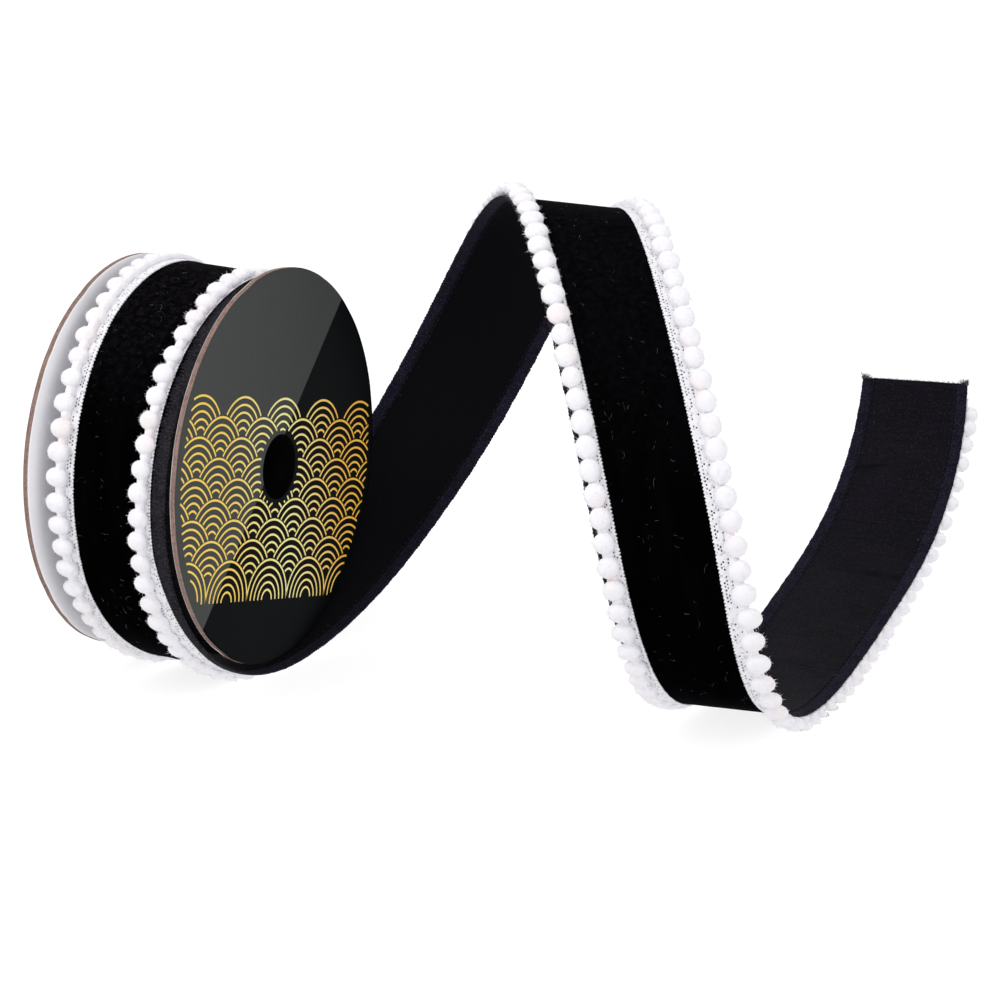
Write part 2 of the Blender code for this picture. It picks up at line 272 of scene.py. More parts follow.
class Strip:
    """The ribbon's middle surface, bent only along straight lines as cloth tape bends."""

    CHUNK = 20000

    def __init__(self, width, length):
        self.width, self.length = width, length
        angle = math.radians(START_ANGLE)
        outward = Vector((0, math.cos(angle), math.sin(angle)))
        turn = Matrix.Rotation(math.radians(START_YAW), 3, outward)
        ahead = turn @ Vector((0, -math.sin(angle), math.cos(angle)))
        across = turn @ Vector((1, 0, 0))
        centre = Vector((START_X, 0, 0)) + outward * START_RADIUS
        past_end = width / 2 * math.tan(math.radians(abs(FOLDS[-1].skew)))
        lines = []
        for step in range(int((length + past_end) / PATH_STEP) + 2):
            along = step * PATH_STEP
            slant = math.tan(math.radians(float(read_rows(FOLDS, along, "skew"))))
            side = across + ahead * slant
            lines.append((along, slant, *centre, *side, *outward))
            bend = math.radians(float(read_rows(FOLDS, along, "bend")) / 100 * PATH_STEP)
            turn = Matrix.Rotation(bend, 3, side.normalized())
            ahead = turn @ ahead
            across = turn @ across
            outward = ahead.cross(across)
            centre = centre + ahead * PATH_STEP
        table = np.array(lines)
        self.along, self.slant = table[:, 0], table[:, 1]
        self.centre, self.side, self.out = table[:, 2:5], table[:, 5:8], table[:, 8:11]

    def points(self, along, across, up):
        """Places at distances along, to the right of and above the middle surface."""
        along, across, up = np.broadcast_arrays(
            np.asarray(along, float), np.asarray(across, float), np.asarray(up, float)
        )
        shape = along.shape
        along, across, up = along.ravel(), across.ravel(), up.ravel()
        found = [
            self._some(*(part[start : start + self.CHUNK] for part in (along, across, up)))
            for start in range(0, len(along), self.CHUNK)
        ]
        return np.concatenate(found).reshape(*shape, 3)

    def _some(self, along, across, up):
        starts = self.along + self.slant * across[:, None]
        after = np.clip((starts < along[:, None]).sum(1), 1, len(self.along) - 1)
        before = after - 1
        rows = np.arange(len(along))
        low, high = starts[rows, before], starts[rows, after]
        part = np.clip((along - low) / (high - low), 0.0, 1.0)[:, None]
        centre = self.centre[before] * (1 - part) + self.centre[after] * part
        side = self.side[before] * (1 - part) + self.side[after] * part
        out = self.out[before] * (1 - part) + self.out[after] * part
        out /= np.linalg.norm(out, axis=1, keepdims=True)
        return centre + side * across[:, None] + out * up[:, None]

    def axes(self, along, across):
        """Unit vectors ahead, to the right and outward at places on the ribbon."""
        reach = 0.5
        here = self.points(along, across, 0.0)
        out = self.points(along, across, 1.0) - here
        ahead = self.points(along + reach, across, 0.0) - self.points(along - reach, across, 0.0)
        ahead /= np.linalg.norm(ahead, axis=-1, keepdims=True)
        right = np.cross(ahead, out)
        return ahead, right / np.linalg.norm(right, axis=-1, keepdims=True), out


def trim_at(rows, side, along, what):
    """A column of an edge in a table of how the trim lies, at places along the ribbon."""
    return read_rows(rows, along, f"{SIDES[side]}_{what}")


def make_strip(sizes):
    return Strip(sizes.width / MM, sizes.length / MM)


# ---------------------------------------------------------------- meshes


def add_piece(name, points, faces, materials, finish=None, flat_map=None, flat=False):
    """A mesh piece in the shared frame, riding the part's one body."""
    mesh = bpy.data.meshes.new(name)
    points = np.asarray(points).reshape(-1, 3) * MM + CENTRE
    mesh.from_pydata(points.tolist(), [], faces)
    for material in materials:
        mesh.materials.append(material)
    if finish is not None:
        mesh.polygons.foreach_set("material_index", np.asarray(finish, np.int32))
    if flat_map is not None:
        layer = mesh.uv_layers.new(name="cloth")
        corners = np.zeros(len(mesh.loops), np.int32)
        mesh.loops.foreach_get("vertex_index", corners)
        layer.uv.foreach_set("vector", np.asarray(flat_map, np.float32)[corners].ravel())
    mesh.validate()
    mesh.shade_flat() if flat else mesh.shade_smooth()
    piece = bpy.data.objects.new(name, mesh)
    bpy.context.collection.objects.link(piece)
    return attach(piece, "root")


def ring_faces(rings, corners, ends=True):
    """Faces of a tube skinned over rings of corners that follow each other."""
    row = np.arange(rings - 1)[:, None] * corners
    spot = np.arange(corners)[None, :]
    after = (spot + 1) % corners
    quads = np.stack([row + spot, row + after, row + corners + after, row + corners + spot], -1)
    faces = quads.reshape(-1, 4).tolist()
    if ends:
        last = (rings - 1) * corners
        faces += [list(range(corners))[::-1], list(range(last, last + corners))]
    return faces


def hoop_faces(rings, corners):
    """Faces of a hoop, whose last ring joins its first."""
    last = (rings - 1) * corners
    closing = [[last + s, last + (s + 1) % corners, (s + 1) % corners, s] for s in range(corners)]
    return ring_faces(rings, corners, ends=False) + closing


def hoop_angles(steps):
    """Angles round the spool's axis, one for each ring of a hoop."""
    return math.tau * np.arange(steps) / steps


class Heap:
    """Many small shapes gathered into one mesh."""

    def __init__(self):
        self.points, self.faces, self.finish, self.count = [], [], [], 0

    def add(self, points, faces, finish=0):
        self.points.append(np.asarray(points))
        self.faces.extend([[corner + self.count for corner in face] for face in faces])
        self.finish.extend([finish] * len(faces))
        self.count += len(points)

    def piece(self, name, materials, slot, flat=False):
        points = np.concatenate(self.points)
        return add_piece(name, points, self.faces, materials, self.finish, flat=flat)


def fibre(heap, places, radius, finish=0):
    """A thin three-sided hair that follows a few places and ends in a point."""
    places = np.asarray(places)
    ahead = places[-1] - places[0]
    ahead = ahead / (np.linalg.norm(ahead) + 1e-9)
    aside = np.cross(ahead, (0.3, 0.9, 0.4))
    aside /= np.linalg.norm(aside) + 1e-9
    upward = np.cross(ahead, aside)
    rings = []
    for place in places[:-1]:
        for corner in range(3):
            angle = math.tau * corner / 3
            rings.append(place + radius * (aside * math.cos(angle) + upward * math.sin(angle)))
    faces = ring_faces(len(places) - 1, 3, ends=False)
    faces.append([2, 1, 0])
    last = len(rings) - 3
    faces += [[last + corner, last + (corner + 1) % 3, last + 3] for corner in range(3)]
    heap.add([*rings, places[-1]], faces, finish)


def ball(subdivisions):
    """Corners and faces of a unit ball made of triangles."""
    shape = bpy.data.meshes.new("ball")
    made = bmesh.new()
    bmesh.ops.create_icosphere(made, subdivisions=subdivisions, radius=1.0)
    made.to_mesh(shape)
    made.free()
    points = np.array([corner.co for corner in shape.vertices])
    faces = [list(face.vertices) for face in shape.polygons]
    bpy.data.meshes.remove(shape)
    return points, faces


# ---------------------------------------------------------------- materials


class Finish:
    """Node helper for one material."""

    def __init__(self, name, rough, specular=0.5, sheen=0.0, sheen_rough=0.5):
        self.material = bpy.data.materials.new(name)
        self.material.use_nodes = True
        self.tree = self.material.node_tree
        self.shader = self.tree.nodes["Principled BSDF"]
        self.set("Roughness", rough)
        self.set("Specular IOR Level", specular)
        self.set("Sheen Weight", sheen)
        self.set("Sheen Roughness", sheen_rough)

    def set(self, socket, value):
        self.shader.inputs[socket].default_value = value

    def glow(self, tint, strength):
        self.set("Emission Color", (*tint, 1.0))
        self.set("Emission Strength", strength)

    def node(self, kind, **settings):
        made = self.tree.nodes.new("ShaderNode" + kind)
        for key, value in settings.items():
            if key in made.inputs.keys():
                made.inputs[key].default_value = value
            else:
                setattr(made, key, value)
        return made

    def link(self, start, end):
        self.tree.links.new(start, end)

    def place(self, scale=(1, 1, 1), flat_map=False, turn=0.0):
        """Coordinates in the shared frame, or on the cloth, in metres times scale."""
        start = self.cloth() if flat_map else self.node("TexCoord").outputs["Object"]
        mapping = self.node("Mapping", Scale=scale, Rotation=(0, 0, turn))
        self.link(start, mapping.inputs["Vector"])
        return mapping.outputs["Vector"]

    def cloth(self):
        """Across and along the ribbon, in metres."""
        return self.node("UVMap", uv_map="cloth").outputs["UV"]

    def split(self, vector):
        """The parts of a vector."""
        made = self.node("SeparateXYZ")
        self.link(vector, made.inputs[0])
        return made.outputs

    def from_axle(self):
        """The parts of the way from the spool's centre."""
        middle = self.node("VectorMath", operation="SUBTRACT")
        self.link(self.node("TexCoord").outputs["Object"], middle.inputs[0])
        middle.inputs[1].default_value = CENTRE
        return self.split(middle.outputs[0])

    def noise(self, place, scale, detail=3.0):
        made = self.node("TexNoise", Scale=scale, Detail=detail, Roughness=0.55)
        self.link(place, made.inputs["Vector"])
        return made.outputs["Fac"]

    def streaks(self, squeeze, scale, detail):
        """Noise drawn out across the ribbon."""
        return self.noise(self.place((squeeze, 1, 1), flat_map=True), scale, detail)

    def ramp(self, value, low, high, start=0.0, end=1.0):
        made = self.node("MapRange")
        for socket, number in zip(made.inputs[1:5], (low, high, start, end)):
            socket.default_value = number
        self.link(value, made.inputs["Value"])
        return made.outputs["Result"]

    def maths(self, operation, *values):
        made = self.node("Math", operation=operation)
        for socket, value in zip(made.inputs, values):
            if isinstance(value, (int, float)):
                socket.default_value = value
            else:
                self.link(value, socket)
        return made.outputs[0]

    def times(self, first, second):
        return self.maths("MULTIPLY", first, second)

    def mix(self, share, first, second):
        """A colour between two others, each a socket or a plain colour."""
        made = self.node("Mix", data_type="RGBA")
        for index, value in ((0, share), (6, first), (7, second)):
            socket = made.inputs[index]
            if hasattr(value, "is_linked"):
                self.link(value, socket)
            else:
                socket.default_value = (*value[:3], 1.0)
        return made.outputs[2]

    def blend(self, value, low, high, first, second):
        """The first colour where the value is low, the second where it is high."""
        return self.mix(self.ramp(value, low, high), first, second)

    def colour(self, value):
        self.link(value, self.shader.inputs["Base Color"])

    def bump(self, height, depth, strength):
        """Relief of a depth in millimetres over what is there already."""
        made = self.node("Bump", Strength=strength, Distance=depth * MM)
        self.link(height, made.inputs["Height"])
        previous = self.shader.inputs["Normal"].links
        if previous:
            self.link(previous[0].from_socket, made.inputs["Normal"])
        self.link(made.outputs["Normal"], self.shader.inputs["Normal"])


def scaled(tone, by):
    return tuple(min(1.0, part * by) for part in tone[:3])


def velvet_finish(colours):
    f = Finish("black_velvet", 1.0, specular=0.0, sheen=0.055, sheen_rough=0.22)
    f.set("Sheen Tint", (*colours.velvet_sheen, 1.0))
    place = f.place()
    pile = f.noise(place, 2600.0, 2.0)
    clumps = f.noise(place, 420.0)
    strokes = f.noise(f.place((6, 1.2, 1), flat_map=True), 22.0, 2.0)
    # Painted highlight: faces that turn upward get lighter pile in clumps and tips, as if lit from
    # above
    upward = f.ramp(f.split(f.node("NewGeometry").outputs["Normal"])["Z"], 0.35, 1.0)
    shade = f.blend(strokes, 0.35, 0.7, colours.velvet, scaled(colours.velvet, 2.2))
    shade = f.mix(f.times(f.times(upward, clumps), 0.6), shade, colours.painted_pile_highlight)
    tips = f.times(f.ramp(pile, 0.5, 0.75), f.ramp(clumps, 0.45, 0.65))
    # The painted highlight on the tips falls to 0.3 of its strength between 0.4 m and 0.5 m along
    # the ribbon
    on_roll = f.ramp(f.split(f.cloth())["Y"], 0.4, 0.5, 1.0, 0.3)
    tips = f.times(f.times(tips, on_roll), upward)
    f.colour(f.mix(tips, shade, scaled(colours.painted_pile_highlight, 5.0)))
    f.bump(pile, 0.25, 0.6)
    f.bump(clumps, 0.2, 0.5)
    return f.material


def satin_finish(colours):
    satin = colours.satin
    f = Finish("satin_back", 0.5, specular=0.05)
    threads = f.streaks(0.25, 2600.0, 1.0)
    folds = f.streaks(0.16, 48.0, 1.0)
    waves = f.streaks(1, 45.0, 2.0)
    tone = f.blend(waves, 0.35, 0.7, satin, scaled(satin, 1.9))
    tone = f.blend(f.streaks(0.06, 900.0, 2.0), 0.55, 0.8, tone, scaled(satin, 2.6))
    specks = f.times(f.ramp(f.noise(f.place(), 1300.0, 2.0), 0.54, 0.72), 0.9)
    tone = f.mix(specks, tone, colours.satin_specks)
    # Painted shade: thin dark crease lines across the satin, where the waves run high
    line = f.ramp(f.maths("ABSOLUTE", f.maths("SUBTRACT", folds, 0.5)), 0.0, 0.012, 1.0, 0.0)
    line = f.times(line, f.ramp(waves, 0.45, 0.6))
    tone = f.mix(f.times(line, 0.8), tone, scaled(satin, 0.15))
    # Painted shade: the satin is darker over the first 0.72 m of the ribbon, reaching its own tone
    # by 1.0 m
    f.colour(f.blend(f.split(f.cloth())["Y"], 0.72, 1.0, scaled(satin, 0.6), tone))
    f.link(f.ramp(threads, 0.3, 0.7, 0.5, 0.68), f.shader.inputs["Roughness"])
    f.bump(threads, 0.08, 0.7)
    f.bump(f.ramp(f.streaks(0.10, 160.0, 2.0), 0.55, 0.75), 0.25, 0.5)
    f.bump(waves, 0.6, 0.4)
    return f.material


def hem_finish(colours, pitch, name, hem):
    """Overlocking thread of a colour, laid in uneven ribs."""
    f = Finish(name, 0.92, specular=0.04, sheen=0.06, sheen_rough=0.4)
    f.set("Sheen Tint", (*colours.velvet_sheen, 1.0))
    place = f.place()
    twist = f.noise(place, 1700.0, 2.0)
    uneven = f.noise(place, 420.0, 2.0)
    wobble = f.maths("MULTIPLY_ADD", uneven, 1.5 * pitch, f.split(f.cloth())["Y"])
    ribs = f.maths("ABSOLUTE", f.maths("SINE", f.times(wobble, math.pi / pitch)))
    tone = f.blend(f.noise(place, 160.0, 2.0), 0.35, 0.7, scaled(hem, 0.8), scaled(hem, 1.5))
    tone = f.mix(f.ramp(ribs, 0.0, 0.5, 0.5, 1.0), scaled(hem, 0.3), tone)
    f.colour(f.blend(twist, 0.48, 0.7, tone, scaled(hem, 3.6)))
    f.bump(twist, 0.2, 0.8)
    f.bump(ribs, 0.25, 0.4)
    return f.material


def yarn_finish(colours):
    f = Finish("white_yarn", 1.0, specular=0.1, sheen=0.25, sheen_rough=0.6)
    place = f.place()
    tufts = f.noise(place, 420.0, 2.0)
    patches = f.ramp(f.noise(place, 75.0, 1.0), 0.55, 0.72, 0.0, 0.42)
    soft = f.mix(patches, colours.yarn, colours.blush)
    f.colour(f.mix(f.ramp(tufts, 0.25, 0.5, 0.25, 0.0), soft, scaled(colours.yarn, 0.86)))
    f.bump(f.noise(place, 1500.0), 0.35, 0.5)
    f.bump(tufts, 0.5, 0.35)
    return f.material


def lace_finish(colours):
    """White threads with thin greyish places between them."""
    f = Finish("open_tape", 1.0, specular=0.1, sheen=0.2, sheen_rough=0.6)
    place = f.place()
    loops = f.noise(place, 900.0, 2.0)
    threads = f.noise(place, 2400.0, 2.0)
    shade = f.blend(loops, 0.56, 0.70, colours.tape, colours.tape_gaps)
    f.colour(f.mix(f.ramp(threads, 0.3, 0.6, 0.25, 0.0), shade, scaled(colours.tape, 0.7)))
    f.bump(loops, 0.4, -0.5)
    f.bump(threads, 0.15, 0.6)
    return f.material


def plain_fibre(name, tone):
    f = Finish(name, 0.9, specular=0.2)
    f.colour(f.mix(f.noise(f.place(), 600.0, 1.0), tone, scaled(tone, 0.6)))
    return f.material


# Edge of the painted reflection (glare) on the laminate
GLARE_SLANT = 1.064  # how far the gloss's edge runs along Y for each unit that it rises
GLARE_REACH = -7.9


def laminate_finish(colours):
    """Black laminate with a painted reflection: a glare paints its upper left part lighter, up to a
    straight slanting line.
    """
    dark, painted_glare = colours.laminate, colours.painted_glare
    f = Finish("black_laminate", 0.3, specular=0.01)
    way = f.from_axle()
    slanted = f.maths("MULTIPLY_ADD", way["Z"], GLARE_SLANT, GLARE_REACH * MM)
    edge = f.ramp(f.maths("SUBTRACT", way["Y"], slanted), -0.2 * MM, 0.2 * MM, 1.0, 0.0)
    grain = f.noise(f.place(), 1200.0, 2.0)
    glare_tone = f.blend(grain, 0.3, 0.7, scaled(painted_glare, 0.94), scaled(painted_glare, 1.06))
    # The painted glare is strongest at Y = -75 mm and fades towards Y = +30 mm
    glare_tone = f.mix(f.ramp(way["Y"], -75 * MM, 30 * MM, 1.05, 0.85), dark, glare_tone)
    f.colour(f.mix(edge, dark, glare_tone))
    return f.material


def foil_finish(colours):
    """Gold foil that runs from yellow over pale to orange across the flange."""
    f = Finish("gold_foil", 0.42, specular=0.4)
    sideways = f.from_axle()["Y"]
    left = f.blend(sideways, -40 * MM, 5 * MM, colours.foil_yellow, colours.foil_pale)
    f.colour(f.blend(sideways, 5 * MM, 50 * MM, left, colours.foil_orange))
    f.link(f.ramp(f.noise(f.place(), 900.0), 0.3, 0.7, 0.36, 0.5), f.shader.inputs["Roughness"])
    return f.material


def kraft_finish(colours):
    """The brown plies of a cut card edge."""
    kraft = colours.kraft
    f = Finish("kraft_edge", 0.9, specular=0.2)
    plies = f.noise(f.place((14, 1, 1)), 170.0)
    fibres = f.noise(f.place(), 900.0)
    tone = f.blend(plies, 0.35, 0.65, scaled(kraft, 0.8), scaled(kraft, 1.3))
    f.colour(f.blend(fibres, 0.45, 0.7, tone, scaled(kraft, 0.65)))
    f.bump(fibres, 0.3, 0.7)
    f.bump(plies, 0.2, 0.5)
    return f.material


def board_finish(colours):
    board = colours.board
    f = Finish("white_board", 0.7, specular=0.3)
    # Painted light: the board glows faintly, which lifts the shade on the flanges' inner faces
    f.glow((0.95, 0.95, 1.0), 0.09)
    fibres = f.noise(f.place((1, 3, 1)), 380.0, 4.0)
    clouds = f.noise(f.place(), 28.0, 2.0)
    tone = f.blend(clouds, 0.3, 0.7, scaled(board, 0.96), scaled(board, 1.03))
    f.colour(f.blend(fibres, 0.55, 0.75, tone, scaled(board, 0.9)))
    f.bump(fibres, 0.05, 0.5)
    return f.material


def bore_shade_finish(colours):
    # Painted shade: near black, for the shade inside the bore; the flanges' bore walls share it
    f = Finish("dark_tube", 0.9, specular=0.03)
    winding = f.noise(f.place((3, 1, 1), turn=0.6), 90.0)
    f.colour(f.blend(winding, 0.35, 0.7, colours.tube, scaled(colours.tube, 2.5)))
    f.bump(winding, 0.2, 0.4)
    return f.material


def floor_finish(colours):
    f = Finish("pale_floor", 0.9, specular=0.1)
    f.glow((1.0, 1.0, 1.0), 0.85)
    f.colour(f.mix(f.noise(f.place(), 3.0, 2.0), colours.floor, scaled(colours.floor, 0.99)))
    return f.material


# ---------------------------------------------------------------- the ribbon


RIBBON_SPACING = 2.2  # between the cross rows of the cloth
VELVET_COLUMNS = 16
RIPPLE_HEIGHT = 0.06
RIB_STEPS = 3  # cross rows for each rib of the hems
RIB_DEPTH = 0.18


def cloth_map(across, along):
    """Flat places on the cloth in metres, one for each point."""
    return np.stack(np.broadcast_arrays(across, along), -1).reshape(-1, 2) * MM


class MakeVelvetRibbon(bpy.types.Operator):
    """Makes the ribbon as one sheet, velvet outside and satin inside"""

    bl_idname = "trimmings.velvet_ribbon"
    bl_label = "Velvet ribbon"

    def execute(self, context):
        sizes, colours = context.scene.ribbon_sizes, context.scene.trim_colours
        strip = make_strip(sizes)
        half = sizes.width / MM / 2 - sizes.hem_width / MM * 0.35
        rows = round(strip.length / RIBBON_SPACING)
        along = np.linspace(0.0, strip.length, rows + 1)[:, None]
        columns = np.linspace(-half, half, VELVET_COLUMNS + 1)
        across = np.concatenate([columns, columns[::-1]])[None, :]
        velvet_side = np.arange(across.size) <= VELVET_COLUMNS
        up = np.where(velvet_side, sizes.pile / MM, -sizes.backing / MM)[None, :]
        slow = np.sin(along / 23.0 + across / 31.0) * np.sin(along / 57.0 - across / 19.0)
        points = strip.points(along, across, up + RIPPLE_HEIGHT * slow)
        faces = ring_faces(rows + 1, across.size)
        finish = np.tile(np.where(velvet_side, 0, 1), rows).tolist() + [0, 0]
        materials = [velvet_finish(colours), satin_finish(colours)]
        flat_map = cloth_map(across, along)
        piece = add_piece("velvet_ribbon", points, faces, materials, finish, flat_map)
        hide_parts("ribbon")
        return {"FINISHED"}


# The right hem is stretched outward on the front of the roll
HEM_FLARE_ALONG = (210, 250, 425, 455)
HEM_FLARE = (0.0, 1.7, 1.7, 0.0)
# The hem's section: shares of half its width and of half its thickness, the velvet's side first
HEM_OUTLINE = np.array(
    [(-1.0, 0.12), (-0.8, 0.78), (-0.2, 0.95), (0.45, 1.0), (0.85, 0.8), (1.0, 0.0)]
    + [(0.85, -0.8), (0.45, -1.0), (-0.2, -0.95), (-0.8, -0.8), (-1.0, -0.5)]
)
STITCH_PITCH = 2.9


class MakeHems(bpy.types.Operator):
    """Makes the overlocked hems and the line of stitches inside each"""

    bl_idname = "trimmings.hems"
    bl_label = "Overlocked hems"

    def execute(self, context):
        sizes, colours = context.scene.ribbon_sizes, context.scene.trim_colours
        strip = make_strip(sizes)
        upper = hem_finish(colours, sizes.rib_pitch, "overlocked_hem", colours.hem)
        under = hem_finish(colours, sizes.rib_pitch, "hem_underside", colours.hem_under)
        for side, name in SIDES.items():
            make_hem(strip, sizes, side, name, [upper, under])
            make_stitches(strip, sizes, side, name, under)
        return {"FINISHED"}


def make_hem(strip, sizes, side, name, materials):
    """A flat tube of overlocking thread, ribbed across."""
    pitch = sizes.rib_pitch / MM
    rows = round(strip.length / pitch * RIB_STEPS)
    along = np.linspace(0.15, strip.length - 0.15, rows + 1)[:, None]
    flare = np.interp(along, HEM_FLARE_ALONG, HEM_FLARE) if side > 0 else 0.0
    width = sizes.hem_width / MM + flare
    centre = strip.width / 2 + flare - width / 2
    wide, high = HEM_OUTLINE.T
    slanted = along + side * wide * 0.5
    ribs = np.abs(np.sin(math.pi * slanted / pitch))
    wander = 0.12 * np.sin(slanted / 3.1) * np.sin(slanted / 1.3 + 1.0)
    wander += np.random.default_rng(41 + side).normal(0, 0.06, slanted.shape)
    thick = sizes.hem_thickness / MM / 2 - RIB_DEPTH * (1 - ribs)
    up = high * thick * (1 + 0.3 * wander)
    across = side * (centre + wide * (width / 2 - 0.22 * (1 - ribs) + wander))
    points = strip.points(np.clip(slanted, 0, strip.length), across, up)
    corners = len(HEM_OUTLINE)
    faces = ring_faces(rows + 1, corners)
    finish = [0 if spot % corners < corners // 2 else 1 for spot in range(len(faces))]
    flat_map = cloth_map(across, slanted)
    add_piece(f"hem_{name}", points, faces, materials, finish, flat_map)


def make_stitches(strip, sizes, side, name, finish):
    """A row of short thread lumps on the back, at the hem's inner edge."""
    heap = Heap()
    across = side * (strip.width / 2 - sizes.hem_width / MM - 0.35)
    section = np.array([(0.0, 0.0), (0.35, 0.24), (0.35, -0.24)])
    for place in np.arange(2.0, strip.length - 2.0, STITCH_PITCH):
        rings = [
            (place + shift, across + aside * swell, 0.02 - sizes.backing / MM - out * swell)
            for shift, swell in ((-1.15, 0.35), (-0.5, 1.0), (0.5, 1.0), (1.15, 0.35))
            for out, aside in section
        ]
        heap.add(strip.points(*np.array(rings).T), ring_faces(4, 3))
    heap.piece(f"stitches_{name}", [finish], "velvet")


FRAYED_THREADS = 420
TUFT_THREADS = 110
PALE, DARK = 0, 3  # places in the lint's row of finishes


class MakeLint(bpy.types.Operator):
    """Scatters loose fibres on the velvet and frays the cut end"""

    bl_idname = "trimmings.lint"
    bl_label = "Lint and fraying"

    def execute(self, context):
        sizes = context.scene.ribbon_sizes
        strip = make_strip(sizes)
        draw = np.random.default_rng(11)
        tones = [
            plain_fibre("lint_pale", (0.30, 0.30, 0.33)),
            plain_fibre("lint_green", (0.13, 0.15, 0.05)),
            plain_fibre("lint_red", (0.25, 0.05, 0.09)),
            plain_fibre("lint_black", (0.01, 0.01, 0.014)),
        ]
        lint, fray = Heap(), Heap()
        scatter_lint(lint, strip, sizes, draw)
        fray_end(fray, strip, draw)
        lint.piece("lint", tones, "velvet", flat=True)
        fray.piece("frayed_end", tones, "velvet", flat=True)
        return {"FINISHED"}


def scatter_lint(heap, strip, sizes, draw):
    """Curved hairs on the velvet, and a few short ones on the back of the hems."""
    inner = strip.width / 2 - 9.5
    steps = np.linspace(0, 1, 5)
    for _ in range(sizes.lint):
        along = draw.uniform(5, strip.length - 5)
        across = draw.uniform(-inner, inner)
        heading = draw.uniform(0, math.tau)
        length = draw.uniform(0.8, 3.0) if draw.random() < 0.85 else draw.uniform(3.0, 6.0)
        ways = heading + draw.uniform(-2.2, 2.2) * steps
        lift = draw.uniform(0.05, 0.45)
        kind = int(draw.choice(3, p=[0.72, 0.2, 0.08]))
        walk = np.cumsum(np.stack([np.cos(ways), np.sin(ways)]), 1) * length / 5
        up = sizes.pile / MM + lift * np.sin(math.pi * steps) + 0.05
        places = strip.points(along + walk[0], across + walk[1], up)
        fibre(heap, places, draw.uniform(0.012, 0.026), kind)
    for _ in range(sizes.lint // 5):
        along = draw.uniform(5, strip.length - 5)
        across = draw.choice([-1, 1]) * (strip.width / 2 - abs(draw.normal(6.0, 1.5)))
        steps = np.linspace(0, 1, 4) * draw.uniform(0.3, 0.9)
        places = strip.points(along + steps, across + draw.normal(0, 0.1, 4), -sizes.backing / MM)
        fibre(heap, places, draw.uniform(0.03, 0.06), PALE)


def fray_end(heap, strip, draw):
    """Short threads out of the cut end, a tuft at each corner and a pale line of glue."""
    half = strip.width / 2
    steps = np.linspace(0, 1, 4)
    for _ in range(FRAYED_THREADS):
        across = draw.uniform(-half + 0.5, half - 0.5)
        reach = abs(draw.normal(0, 0.7)) + 0.15
        up = draw.uniform(-0.5, 0.6)
        sway = draw.normal(0, 0.35)
        places = strip.points(strip.length - 0.3, across + sway * steps, up + sway * steps**2)
        places = places + past_end(strip, across, reach * steps, 0.1 * steps)
        kind = PALE if draw.random() < 0.18 else DARK
        fibre(heap, places, draw.uniform(0.03, 0.07), kind)
    for side in SIDES:
        for _ in range(TUFT_THREADS):
            across = side * (half - abs(draw.normal(0, 1.8)))
            reach = draw.uniform(0.8, 3.4)
            aside = across + draw.normal(0, 1.3) * steps**2
            places = strip.points(strip.length - 0.6, aside, draw.uniform(-0.8, 0.9))
            rise = draw.normal(0.2, 0.5) * steps**2
            places = places + past_end(strip, across, reach * steps, rise)
            kind = PALE if draw.random() < (0.5 if side < 0 else 0.12) else DARK
            fibre(heap, places, draw.uniform(0.04, 0.09), kind)
    line = np.linspace(1.5 - half, half * 0.55, 24)
    sway = 0.12 * np.sin(line * 1.9)
    fibre(heap, strip.points(strip.length + 0.12 + sway, line, 0.42), 0.14, PALE)


def past_end(strip, across, reach, rise):
    """Steps ahead and outward from the ribbon's cut end."""
    ahead, _, out = strip.axes(strip.length - 3.0, across)
    return ahead * reach[:, None] + out * rise[:, None]


# ---------------------------------------------------------------- the trim


class MakePompomEdging(bpy.types.Operator):
    """Makes the tape, the cord and the pompoms along both edges"""

    bl_idname = "trimmings.pompom_edging"
    bl_label = "Pompom edging"

    def execute(self, context):
        scene = context.scene
        sizes = scene.trim_sizes
        strip = make_strip(scene.ribbon_sizes)
        colours = scene.trim_colours
        yarn = yarn_finish(colours)
        tape = lace_finish(colours)
        variants = pompom_variants()
        draw = np.random.default_rng(5)
        for side, name in SIDES.items():
            make_tape(strip, sizes, side, name, tape)
            make_cord(strip, sizes, side, name, yarn)
            for stretch, places in stretches(strip, sizes, side, name).items():
                make_pompoms(strip, sizes, side, (name, stretch), places, variants, yarn, draw)
        return {"FINISHED"}


END_CROWDING = (1.0, 3.1, 6.3)  # how far the last pompoms sit back from their even row


def pompom_places(strip, sizes, side):
    """Where the pompoms of one edge sit, along the ribbon."""
    pitch = sizes.pitch / MM
    first = FIRST_POMPOM[side]
    room = strip.length - pitch / 2 - first
    places = first + pitch * np.arange(int(room / pitch) + 1)
    places = places + trim_at(ROWS, side, places, "ahead")
    places[-len(END_CROWDING):] -= END_CROWDING
    return places


STRETCHES = ("on_roll", "rest_roll", "curl", "rest_curl", "tail")


def stretches(strip, sizes, side, name):
    """The pompoms of one edge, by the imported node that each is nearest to."""
    places = pompom_places(strip, sizes, side)
    across = side * (strip.width / 2 - sizes.pompom_inset / MM + trim_at(LAYS, side, places, "lean"))
    spots = strip.points(places, across, 3.0) * MM + CENTRE
    away = []
    for stretch in STRETCHES:
        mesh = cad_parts[f"trim_{name}_{stretch}"].data
        corners = np.array([corner.co for corner in mesh.vertices])
        away.append(np.linalg.norm(spots[:, None] - corners[None], axis=2).min(1))
    nearest = np.argmin(away, axis=0)
    return {stretch: places[nearest == index] for index, stretch in enumerate(STRETCHES)}


POMPOM_VARIANTS = 14


